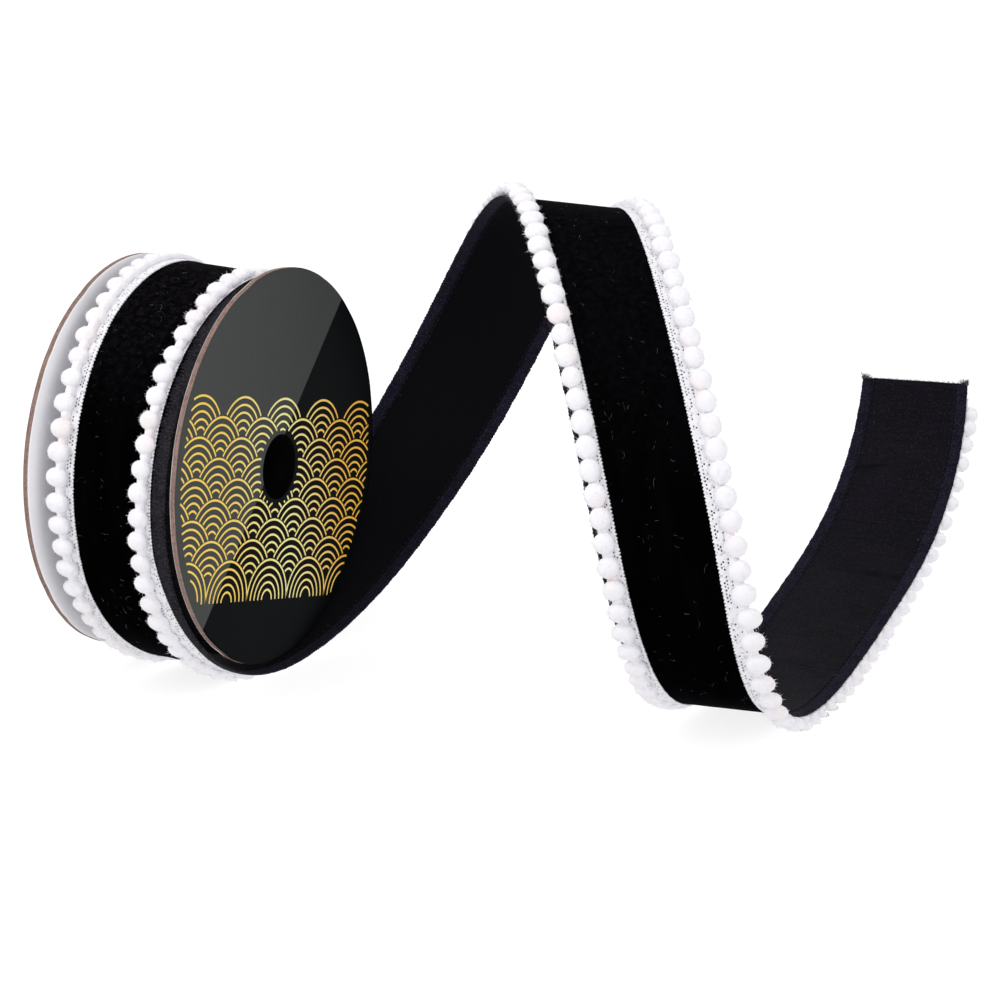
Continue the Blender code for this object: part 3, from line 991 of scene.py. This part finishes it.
def pompom_variants():
    """Unit balls of cut yarn, each with its own lumps."""
    points, faces = ball(4)
    found = []
    for index in range(POMPOM_VARIANTS):
        shift = Vector((index * 7.3, index * 3.1, 0.0))
        swell = []
        for point in points:
            spot = Vector(point)
            slow = noise.noise(spot * 1.3 + shift)
            tufts = noise.noise(spot * 6.5 + shift)
            swell.append(1 + 0.05 * slow + 0.03 * tufts)
        found.append((points * np.array(swell)[:, None], faces))
    return found


FUZZ_PER_POMPOM = 100
FUZZ_THICKNESS = 0.095
POMPOM_FOOT = 0.3  # above the middle of the ribbon's thickness
# Where the pompoms are longer, so that they merge into one row
FLUFFED_ALONG = (560, 640, 900, 980)
FLUFFED = (1.0, 1.22, 1.22, 1.0)


def make_pompoms(strip, sizes, side, names, places, variants, yarn, draw):
    """One stretch of pompoms, with the short fibres that stand out of them."""
    name, stretch = names
    heap = Heap()
    half = sizes.pompom_width / MM / 2
    long = sizes.pompom_length / MM / 2
    full = sizes.pompom_height / MM / 2
    for place in places:
        lean, top = (float(trim_at(LAYS, side, place, what)) for what in ("lean", "top"))
        tall = min(full, 2.0 + top / 6)
        wide = half * float(trim_at(ROWS, side, place, "wide"))
        across = side * (strip.width / 2 - sizes.pompom_inset / MM + lean)
        across += draw.normal(0, 0.22)
        along = place + draw.normal(0, 0.2)
        size = 1 + draw.normal(0, 0.03)
        ahead, right, out = strip.axes(along, across)
        centre = strip.points(along, across, VELVET_FACE + top - tall)
        points, faces = variants[draw.integers(len(variants))]
        turn = np.array(Matrix.Rotation(draw.uniform(0, math.tau), 3, "Z").to_3x3())
        tilt = np.array(Matrix.Rotation(draw.uniform(0, math.pi), 3, "X").to_3x3())
        ahead = ahead * long * min(wide / half, 1.0)
        ahead *= np.interp(place, FLUFFED_ALONG, FLUFFED)
        axes = np.stack([right * wide, ahead, out * tall])
        sewn = (centre - out * (VELVET_FACE + top - tall), right, out, across)
        placed = centre + size * (points @ (turn @ tilt).T @ axes)
        heap.add(pressed(above_satin(placed, sewn, strip)), faces)
        for _ in range(FUZZ_PER_POMPOM):
            way = draw.normal(size=3)
            way /= np.linalg.norm(way)
            root = centre + size * 0.97 * (way @ axes)
            grow = (way @ axes) / half
            tip = root + grow * draw.uniform(0.3, 1.5) + draw.normal(0, 0.28, 3)
            aside = np.cross(grow, draw.normal(size=3))
            aside *= FUZZ_THICKNESS / (np.linalg.norm(aside) + 1e-9)
            lifted = np.cross(grow, aside)
            lifted *= FUZZ_THICKNESS / (np.linalg.norm(lifted) + 1e-9)
            corners = np.array([root - aside, root + aside, root + lifted * 1.7, tip])
            corners = pressed(above_satin(corners, sewn, strip))
            heap.add(corners, [[0, 1, 3], [1, 2, 3], [2, 0, 3]])
    piece = heap.piece(f"pompoms_{name}_{stretch}", [yarn], "yarn")
    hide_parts(f"trim_{name}_{stretch}")


def above_satin(points, sewn, strip):
    """Points that would come out through the ribbon's back stay inside it."""
    foot, right, out, across = sewn
    inside = abs(across + (points - foot) @ right) < strip.width / 2 - 1.0
    short = np.maximum(POMPOM_FOOT - (points - foot) @ out, 0.0) * inside
    return points + out * short[:, None]


def pressed(points):
    """Points that would sink into the floor are spread over it."""
    low = np.minimum(points[:, 2] - FLOOR, 0.0)
    points = points.copy()
    points[:, 2] = np.maximum(points[:, 2], FLOOR + ABOVE_FLOOR)
    middle = points[:, :2].mean(0)
    points[:, :2] += (points[:, :2] - middle) * (np.minimum(-low, SPREAD_MOST) * SPREAD)[:, None]
    return points


CORD_FOOT = 1.35  # how far the cord's stitched foot spreads
CORD_CORNERS = 10


def make_cord(strip, sizes, side, name, yarn):
    """The thick soft cord that the pompoms grow from."""
    along = np.linspace(1.0, strip.length - 6.0, round(strip.length) + 1)
    lean = np.minimum(trim_at(LAYS, side, along, "lean") * CORD_FOLLOWS, CORD_OUT)
    centre = strip.width / 2 - sizes.cord_inset / MM + lean
    height = 0.3 + 0.75 * trim_at(LAYS, side, along, "top")
    height = np.minimum(sizes.cord_height / MM, height)[:, None]
    phase = (along - FIRST_POMPOM[side]) / (sizes.pitch / MM)
    swell = 1.0 + 0.16 * np.cos(math.tau * (phase - 0.5))
    angles = hoop_angles(CORD_CORNERS)
    ring = [(3 * math.cos(angle) + side * 9, 3 * math.sin(angle)) for angle in angles]
    lumps = [[noise.noise(Vector((place * 0.75, *spot))) for spot in ring] for place in along]
    reach = swell[:, None] * (1 + 0.16 * np.array(lumps))
    low = np.sin(angles) < -0.01
    spread = sizes.cord_width / MM / 2 * np.cos(angles) * np.where(low, CORD_FOOT, reach)
    across = side * (centre[:, None] + spread)
    up = VELVET_FACE - 0.1 + np.where(low, 0.0, height / 2 * (1 + np.sin(angles) * reach))
    points = strip.points(along[:, None], across, up)
    points[..., 2] = np.maximum(points[..., 2], FLOOR + ABOVE_FLOOR)
    add_piece(f"cord_{name}", points, ring_faces(len(along), CORD_CORNERS), [yarn])


# The tape from its inner edge outward: where each strand starts, and how often it has a hole
Strand = namedtuple("Strand", "start holes")
TAPE_STRANDS = (
    Strand(0.00, 0.0),
    Strand(0.08, 0.0),
    Strand(0.17, 0.6),
    Strand(0.26, 0.0),
    Strand(0.34, 0.45),
    Strand(0.43, 0.0),
    Strand(0.68, 0.5),
    Strand(0.76, 0.0),
    Strand(0.82, 0.6),
    Strand(0.90, 0.0),
)
TAPE_STEPS = 4  # rows of the net for each scallop


def make_tape(strip, sizes, side, name, finish):
    """The open tape: a net with stray holes and a scalloped inner edge."""
    draw = np.random.default_rng(31 + side)
    pitch = sizes.picot_pitch / MM
    step = pitch / TAPE_STEPS
    rows = int(strip.length / step) - 1
    along = 0.5 + step * np.arange(rows + 1)
    outer = strip.width / 2 - trim_at(LAYS, side, along, "hem")
    inner = strip.width / 2 - trim_at(LAYS, side, along, "tape")
    scallop = 0.28 * np.cos(math.tau * along / pitch) + draw.normal(0, 0.09, rows + 1)
    share = np.array([strand.start for strand in TAPE_STRANDS] + [1.0])
    across = inner[:, None] * (1 - share) + outer[:, None] * share
    across[:, 0] -= 0.22 + scallop
    across[:, 1] -= 0.10
    across[:, 2:-1] += draw.normal(0, 0.10, (rows + 1, len(share) - 3))
    across[:, -1] += 0.2 * np.cos(math.tau * along / pitch)
    across = side * across
    chain = np.array([0.0, 0.16, 0.05] + [0.0] * (len(share) - 3))
    wave = 0.10 * np.sin(along * 1.7)[:, None] * np.sin(share * 9)[None, :]
    top = 0.98 + wave + chain * (1 - np.cos(math.tau * along / pitch))[:, None]
    wide = len(share)
    upper, lower = (strip.points(along[:, None], across, up).reshape(-1, 3) for up in (top, 0.74))
    often = np.array([strand.holes for strand in TAPE_STRANDS])
    spot = np.arange(rows)[:, None] + 2 * (np.arange(len(often)) // 2 % 2)
    holed = draw.random((rows // TAPE_STEPS + 2, len(often))) < often
    net = ~(holed[spot // TAPE_STEPS, np.arange(len(often))] & (spot % TAPE_STEPS < 2))
    faces = net_faces(net, wide, len(upper))
    add_piece(f"tape_{name}", np.concatenate([upper, lower]), faces, [finish])


def net_faces(net, wide, below):
    """The upper face of every kept cell of a net, and the walls beside the holes."""
    rows, columns = net.shape
    kept = np.pad(net, 1)
    faces = []
    for row in range(rows):
        for column in range(columns):
            if not net[row, column]:
                continue
            a = row * wide + column
            b, c, d = a + 1, a + wide + 1, a + wide
            faces.append([a, b, c, d])
            for start, end, beside in (
                (a, b, kept[row, column + 1]),
                (b, c, kept[row + 1, column + 2]),
                (c, d, kept[row + 2, column + 1]),
                (d, a, kept[row + 1, column]),
            ):
                if not beside:
                    faces.append([end, start, start + below, end + below])
    return faces


# ---------------------------------------------------------------- the spool


FLANGE_STEPS = 240
TUBE_STEPS = 96
TUBE_LIP = 0.5
FACE_SKIN = 0.22  # thickness of the paper on each face of the board
WORN_SPOTS = 26


def flange_size(node):
    """Left and right face and radius of a packed flange or tube."""
    low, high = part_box(node)
    left, right = (low.x - CENTRE[0]) / MM, (high.x - CENTRE[0]) / MM
    return left, right, (high.z - low.z) / MM / 2


def turned(x, far, angles):
    """Rings round the spool's axis, one for each angle, from places and distances from it."""
    x, far, angles = np.broadcast_arrays(x, far, angles[:, None])
    return np.stack([x, far * np.cos(angles), far * np.sin(angles)], -1)


class MakeSpool(bpy.types.Operator):
    """Makes the two card flanges, the printed face's foil design and the tube, painted near black as
    the shade in the bore
    """

    bl_idname = "trimmings.spool"
    bl_label = "Card spool"

    def execute(self, context):
        sizes, colours = context.scene.spool_sizes, context.scene.trim_colours
        # dark: the tube's near-black painted shade, also used on the flanges' bore walls
        dark = bore_shade_finish(colours)
        layers = [laminate_finish(colours), kraft_finish(colours), board_finish(colours), dark]
        bore = sizes.bore / MM
        make_flange("flange_right", bore, layers, outward=1)
        make_flange("flange_left", bore, layers, outward=-1)
        make_foil(flange_size("flange_right"), sizes.foil_width / MM, foil_finish(colours))
        make_tube(bore, bore + sizes.core_wall / MM, dark)
        return {"FINISHED"}


def make_flange(node, bore, materials, outward):
    """A card disc: a paper face each side of a board whose brown cut edge is slightly worn."""
    left, right, radius = flange_size(node)
    middle = (left + right) / 2
    draw = np.random.default_rng(21 if outward > 0 else 22)
    angles = hoop_angles(FLANGE_STEPS)
    wear = np.zeros(FLANGE_STEPS)
    for _ in range(WORN_SPOTS):
        spot, depth = draw.integers(FLANGE_STEPS), draw.uniform(0.1, 0.45)
        reach = draw.integers(1, 4)
        for step in range(-reach, reach + 1):
            wear[(spot + step) % FLANGE_STEPS] += depth * (1 - abs(step) / (reach + 1))
    rough = np.array([noise.noise(Vector((a * 30, outward * 4.0, 0.0))) for a in angles])
    wear = np.minimum(wear, 0.6) + 0.06 * rough
    rim = (  # depth below the face, distance from the axis, share of the wear
        (0.0, bore, 0.0),
        (0.0, radius - 1.4, 0.0),
        (0.0, radius - 0.3, 0.3),
        (FACE_SKIN * 0.6, radius - 0.02, 0.6),
        (FACE_SKIN, radius, 0.9),
        (middle - left - 0.5, radius - 0.06, 1.0),
    )
    profile = [(left + x, far, share) for x, far, share in rim]
    profile += [(middle, radius - 0.12, 1.2)]
    profile += [(right - x, far, share) for x, far, share in reversed(rim)]
    x, far, share = np.array(profile).T
    to_left, to_right = (2, 0) if outward > 0 else (0, 2)
    # The last finish, on the bore wall, is the tube's painted shade
    finish_of = [to_left] * 4 + [1] * 4 + [to_right] * 4 + [3]
    faces = hoop_faces(FLANGE_STEPS, len(profile))
    finish = [finish_of[spot % len(profile)] for spot in range(len(faces))]
    points = turned(x, far - wear[:, None] * share, angles)
    piece = add_piece(f"card_{node}", points, faces, materials, finish)
    piece.data.set_sharp_from_angle(angle=math.radians(50))
    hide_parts(node)
    return piece


def make_tube(inner, outer, finish):
    """The tube between the flanges, with a rounded lip at each end."""
    left, right, _ = flange_size("core")
    profile = [(left, inner + TUBE_LIP), (left, outer - TUBE_LIP), (left + TUBE_LIP, outer)]
    profile += [(right - TUBE_LIP, outer), (right, outer - TUBE_LIP), (right, inner + TUBE_LIP)]
    profile += [(right - TUBE_LIP, inner), (left + TUBE_LIP, inner)]
    points = turned(*np.array(profile).T, hoop_angles(TUBE_STEPS))
    faces = hoop_faces(TUBE_STEPS, len(profile))
    piece = add_piece("tube_painted_dark", points, faces, [finish])
    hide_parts("core")


PRINT_TURN = math.radians(13.5)  # the printed face is turned by this on the spool
SCALE_RADIUS = 16.0
SCALE_RINGS = (16.0, 13.0, 10.0, 7.0, 4.0)
SCALE_TOP = 11.0
SCALE_BOTTOM = -55.0
FOIL_HEIGHT = 0.05
FOIL_MARGIN = 3.5
FOIL_HOLE = 14.6  # the foil stays this far from the axle


def make_foil(size, width, finish):
    """Gold lines on the printed face: rows of overlapping scales, each of nested arcs."""
    _, face, radius = size
    heap = Heap()
    row_step = SCALE_RADIUS / 2
    across = int(radius / SCALE_RADIUS) + 1
    scales = [
        (row, (2 * column + row % 2) * SCALE_RADIUS, SCALE_TOP - row * row_step)
        for row in range(int((SCALE_TOP - SCALE_BOTTOM) / row_step) + 1)
        for column in range(-across, across + 1)
    ]
    for row, side, height in scales:
        hiding = [
            (y, z) for other, y, z in scales
            if other > row and abs(y - side) < 2 * SCALE_RADIUS and height - z < 2 * SCALE_RADIUS
        ]
        for reach in SCALE_RINGS:
            draw_arc(heap, (side, height), reach, hiding, (face, radius, width))
    heap.piece("foil_scales", [finish], "laminate")


def draw_arc(heap, middle, reach, hiding, size):
    """One arc of a scale, drawn where no scale in front hides it and the face carries it."""
    face, radius, width = size
    steps = max(8, int(reach * 3))
    run = []
    for angle in np.linspace(0, math.pi, steps + 1):
        y, z = middle[0] + reach * math.cos(angle), middle[1] + reach * math.sin(angle)
        hidden = any(math.hypot(y - a, z - b) < SCALE_RADIUS + width * 0.6 for a, b in hiding)
        carried = FOIL_HOLE < math.hypot(y, z) < radius - FOIL_MARGIN and z >= SCALE_BOTTOM
        if carried and not hidden:
            run.append((*printed(y, z), *printed(math.cos(angle), math.sin(angle))))
        else:
            draw_run(heap, run, face, width)
            run = []
    draw_run(heap, run, face, width)


def printed(y, z):
    """A place or direction of the print, turned as it sits on the spool."""
    cosine, sine = math.cos(PRINT_TURN), math.sin(PRINT_TURN)
    return y * cosine + z * sine, z * cosine - y * sine


def draw_run(heap, run, face, width):
    """A strip of foil through the places of one unbroken run."""
    if len(run) < 2:
        return
    points = [
        (face + FOIL_HEIGHT * height, y + out_y * width * shift, z + out_z * width * shift)
        for y, z, out_y, out_z in run
        for shift, height in ((-0.5, 0.0), (-0.4, 1.0), (0.4, 1.0), (0.5, 0.0))
    ]
    heap.add(points, ring_faces(len(run), 4))


# ---------------------------------------------------------------- the wound turns


TURN_PITCH = 3.4
TURN_HEM = 1.5
ROLL_STEPS = 120
ROLL_PATH = np.arange(0.0, 430.0, 3.0)  # places on the ribbon that lie round the roll
ROLL_GAP = 1.1  # left between the roll and the loose turn
ROLL_FILL = 8.6  # the roll fills out no further than this
LAST_TURN_OUT = 2.2  # how far the last turn reaches past the others on the right
WOUND_POMPOM = (3.9, 4.2, 1.7)  # half its size across, along and outward
VELVET, TRIM, HEM = 0, 1, 2  # places in the row of finishes


class MakeWoundTurns(bpy.types.Operator):
    """Makes the turns wound under the loose one, with their squashed pompoms"""

    bl_idname = "trimmings.wound_turns"
    bl_label = "Wound turns"

    def execute(self, context):
        scene = context.scene
        sizes = scene.spool_sizes
        names = ("black_velvet", "white_yarn", "overlocked_hem")
        materials = [bpy.data.materials[name] for name in names]
        radius, half = sizes.roll_radius / MM, sizes.roll_width / MM / 2
        inner = (sizes.bore + sizes.core_wall) / MM + 0.4
        filled = roll_outline(scene.ribbon_sizes, radius)[:, None]
        right_side, right_kinds = wound_side(inner, radius, half, HEM, LAST_TURN_OUT)
        left_side, left_kinds = wound_side(inner, radius, half, TRIM, 0.0)
        profile = right_side + [(-x, far) for x, far in reversed(left_side)]
        kinds = np.array(right_kinds + [VELVET] + left_kinds[::-1] + [HEM])
        x, far = np.array(profile).T
        angles = hoop_angles(ROLL_STEPS)
        ripple = 0.35 * np.sin(angles[:, None] * far / 9.0 * math.tau + far) * (kinds == TRIM)
        wide = np.where(abs(x) > half - 8, x - np.copysign(ripple + 0.35, x), x)
        reach = far + filled * (far - inner) / (radius - inner)
        faces = hoop_faces(ROLL_STEPS, len(profile))
        finish = kinds[np.arange(len(faces)) % len(profile)]
        points = turned(wide, reach, angles)
        piece = add_piece("wound_turns", points, faces, materials, finish)
        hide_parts("wound_roll")
        make_wound_pompoms(scene.trim_sizes, radius, half, materials[TRIM])
        return {"FINISHED"}


def roll_outline(sizes, radius):
    """How far the roll fills out towards the loose turn, round its axis."""
    strip = make_strip(sizes)
    half = strip.width / 2
    across = np.linspace(-half, half, 9)
    spots = strip.points(ROLL_PATH[:, None], across, -sizes.backing / MM)
    room = np.hypot(spots[..., 1], spots[..., 2]).min(1) - radius - ROLL_GAP
    turn = np.unwrap(np.arctan2(spots[:, 4, 2], spots[:, 4, 1]))
    steps = hoop_angles(ROLL_STEPS)
    steps = np.where(steps < turn[0], steps + math.tau, steps)
    steps = np.where(steps > turn[0] + math.tau, steps - math.tau, steps)
    leaving = np.clip((turn[-1] + 0.35 - steps) / 0.6, 0.0, 1.0)
    smooth = leaving * leaving * (3 - 2 * leaving)
    return np.clip(np.interp(steps, turn, room), 0.0, ROLL_FILL) * smooth


def wound_side(inner, radius, half, between, out):
    """One side of the roll from the tube outward: hems, and what shows between the turns.

    The last turn reaches past the others by out."""
    profile, kinds = [(half, inner)], []
    far = inner
    while far + TURN_PITCH < radius - 4:
        side = half + 0.6 * math.sin(far * 2.3)
        profile += [(side - 0.2, far + 0.3), (side - 0.2, far + TURN_HEM)]
        profile += [(side - 0.9, far + TURN_HEM + 0.2), (side - 0.9, far + TURN_PITCH)]
        kinds += [HEM, HEM, between, between]
        far += TURN_PITCH
    profile += [(half + out - 0.8, radius - 2.6), (half + out - 1.6, radius - 0.9)]
    profile += [(half - 8.0, radius - 0.4)]
    return profile, kinds + [HEM] * 3


def make_wound_pompoms(sizes, radius, half, yarn):
    """The flattened pompoms along the left edge of the turn under the loose one."""
    heap = Heap()
    draw = np.random.default_rng(8)
    points, faces = ball(3)
    right = np.array((1.0, 0.0, 0.0))
    for angle in hoop_angles(int(math.tau * radius / (sizes.pitch / MM))):
        out = np.array((0.0, math.cos(angle), math.sin(angle)))
        middle = out * (radius - 1.9) - right * (half - 4.2 + draw.normal(0, 0.2))
        axes = np.stack([right, np.cross(right, out), out]) * np.array(WOUND_POMPOM)[:, None]
        swell = 1 + 0.05 * np.sin(points * 5 + draw.uniform(0, 6)).sum(1)[:, None]
        heap.add(middle + (points * swell) @ axes, faces)
    heap.piece("wound_pompoms", [yarn], "wound")


# ---------------------------------------------------------------- stage


FLOOR_REACH = 30.0
FLOOR_DROP = 0.3  # the ground lies this far under the part


class MakeStage(bpy.types.Operator):
    """Sets the floor, the lights and the camera"""

    bl_idname = "trimmings.stage"
    bl_label = "Stage"

    def execute(self, context):
        scene = context.scene
        settings = scene.stage_settings
        floor = bpy.data.meshes.new("floor")
        far = FLOOR_REACH
        corners = [(-far, -far, 0), (far, -far, 0), (far, far, 0), (-far, far, 0)]
        floor.from_pydata(corners, [], [(0, 1, 2, 3)])
        floor.materials.append(floor_finish(scene.trim_colours))
        ground = bpy.data.objects.new("floor", floor)
        ground.location.z = -FLOOR_DROP * MM
        ground.visible_diffuse = False
        context.collection.objects.link(ground)
        make_surround(scene, settings.sky)
        scene.view_settings.view_transform = "Standard"
        soft_box("key", (-0.9, -1.0, 1.5), 1.0, settings.key, (1.0, 0.99, 0.98))
        soft_box("fill", (1.3, -1.1, 0.9), 1.2, settings.fill, (0.97, 0.98, 1.0))
        place_camera(scene, settings)
        return {"FINISHED"}


def make_surround(scene, sky):
    """White light from all round, a little stronger where it is seen directly."""
    scene.world = bpy.data.worlds.new("surround")
    scene.world.use_nodes = True
    tree = scene.world.node_tree
    path = tree.nodes.new("ShaderNodeLightPath")
    strength = tree.nodes.new("ShaderNodeMapRange")
    strength.inputs["To Min"].default_value = sky
    strength.inputs["To Max"].default_value = 1.05
    tree.links.new(path.outputs["Is Camera Ray"], strength.inputs["Value"])
    background = tree.nodes["Background"]
    background.inputs["Color"].default_value = (1.0, 1.0, 1.0, 1.0)
    tree.links.new(strength.outputs["Result"], background.inputs["Strength"])


def set_out(name, data, place, facing):
    """A lamp or camera at a place, turned so that its back faces along a direction."""
    made = bpy.data.objects.new(name, data)
    made.location = place
    made.rotation_mode = "QUATERNION"
    made.rotation_quaternion = facing.to_track_quat("Z", "Y")
    bpy.context.collection.objects.link(made)
    return made


def soft_box(name, place, size, power, tint):
    """A square area light that faces the part."""
    light = bpy.data.lights.new(name, "AREA")
    light.shape = "SQUARE"
    light.size = size
    light.energy = power
    light.color = tint
    set_out(name, light, place, Vector(place) - Vector((0, 0, 0.08)))


def place_camera(scene, settings):
    """The camera, set by its turn round the spool and its height above the horizon."""
    turn, rise = settings.azimuth, settings.elevation
    right = Vector((math.cos(turn), math.sin(turn), 0))
    level = Vector((math.sin(turn), -math.cos(turn), 0))
    back = level * math.cos(rise) + Vector((0, 0, math.sin(rise)))
    aim = Vector(CENTRE) + right * settings.aim_right + back.cross(right) * settings.aim_up
    camera = bpy.data.cameras.new("camera")
    camera.lens = settings.lens
    camera.sensor_width = 36
    camera.clip_start, camera.clip_end = 0.05, 100
    scene.camera = set_out("camera", camera, aim + back * settings.distance, back)


# ---------------------------------------------------------------- add-on


OPERATORS = (
    MakeVelvetRibbon,
    MakeHems,
    MakeLint,
    MakePompomEdging,
    MakeSpool,
    MakeWoundTurns,
    MakeStage,
)
GROUPS = {
    "ribbon_sizes": RibbonSizes,
    "trim_sizes": TrimSizes,
    "spool_sizes": SpoolSizes,
    "trim_colours": TrimColours,
    "stage_settings": StageSettings,
}


class RibbonPanel(bpy.types.Panel):
    """Lists the pieces and their sizes"""

    bl_idname = "VIEW3D_PT_trimmed_ribbon"
    bl_label = "Trimmed ribbon"
    bl_space_type = "VIEW_3D"
    bl_region_type = "UI"
    bl_category = "Ribbon"

    def draw(self, context):
        for operator in OPERATORS:
            self.layout.operator(operator.bl_idname)
        for name in GROUPS:
            box = self.layout.box()
            settings = getattr(context.scene, name)
            for key in settings.__annotations__:
                box.prop(settings, key)


def register():
    for kind in (*GROUPS.values(), *OPERATORS, RibbonPanel):
        bpy.utils.register_class(kind)
    for name, kind in GROUPS.items():
        setattr(bpy.types.Scene, name, PointerProperty(type=kind))


def unregister():
    for name in GROUPS:
        delattr(bpy.types.Scene, name)
    for kind in reversed((*GROUPS.values(), *OPERATORS, RibbonPanel)):
        bpy.utils.unregister_class(kind)


def main():
    register()
    bpy.ops.trimmings.velvet_ribbon()
    bpy.ops.trimmings.hems()
    bpy.ops.trimmings.lint()
    bpy.ops.trimmings.pompom_edging()
    bpy.ops.trimmings.spool()
    bpy.ops.trimmings.wound_turns()
    bpy.ops.trimmings.stage()


if __name__ == "__main__":
    main()
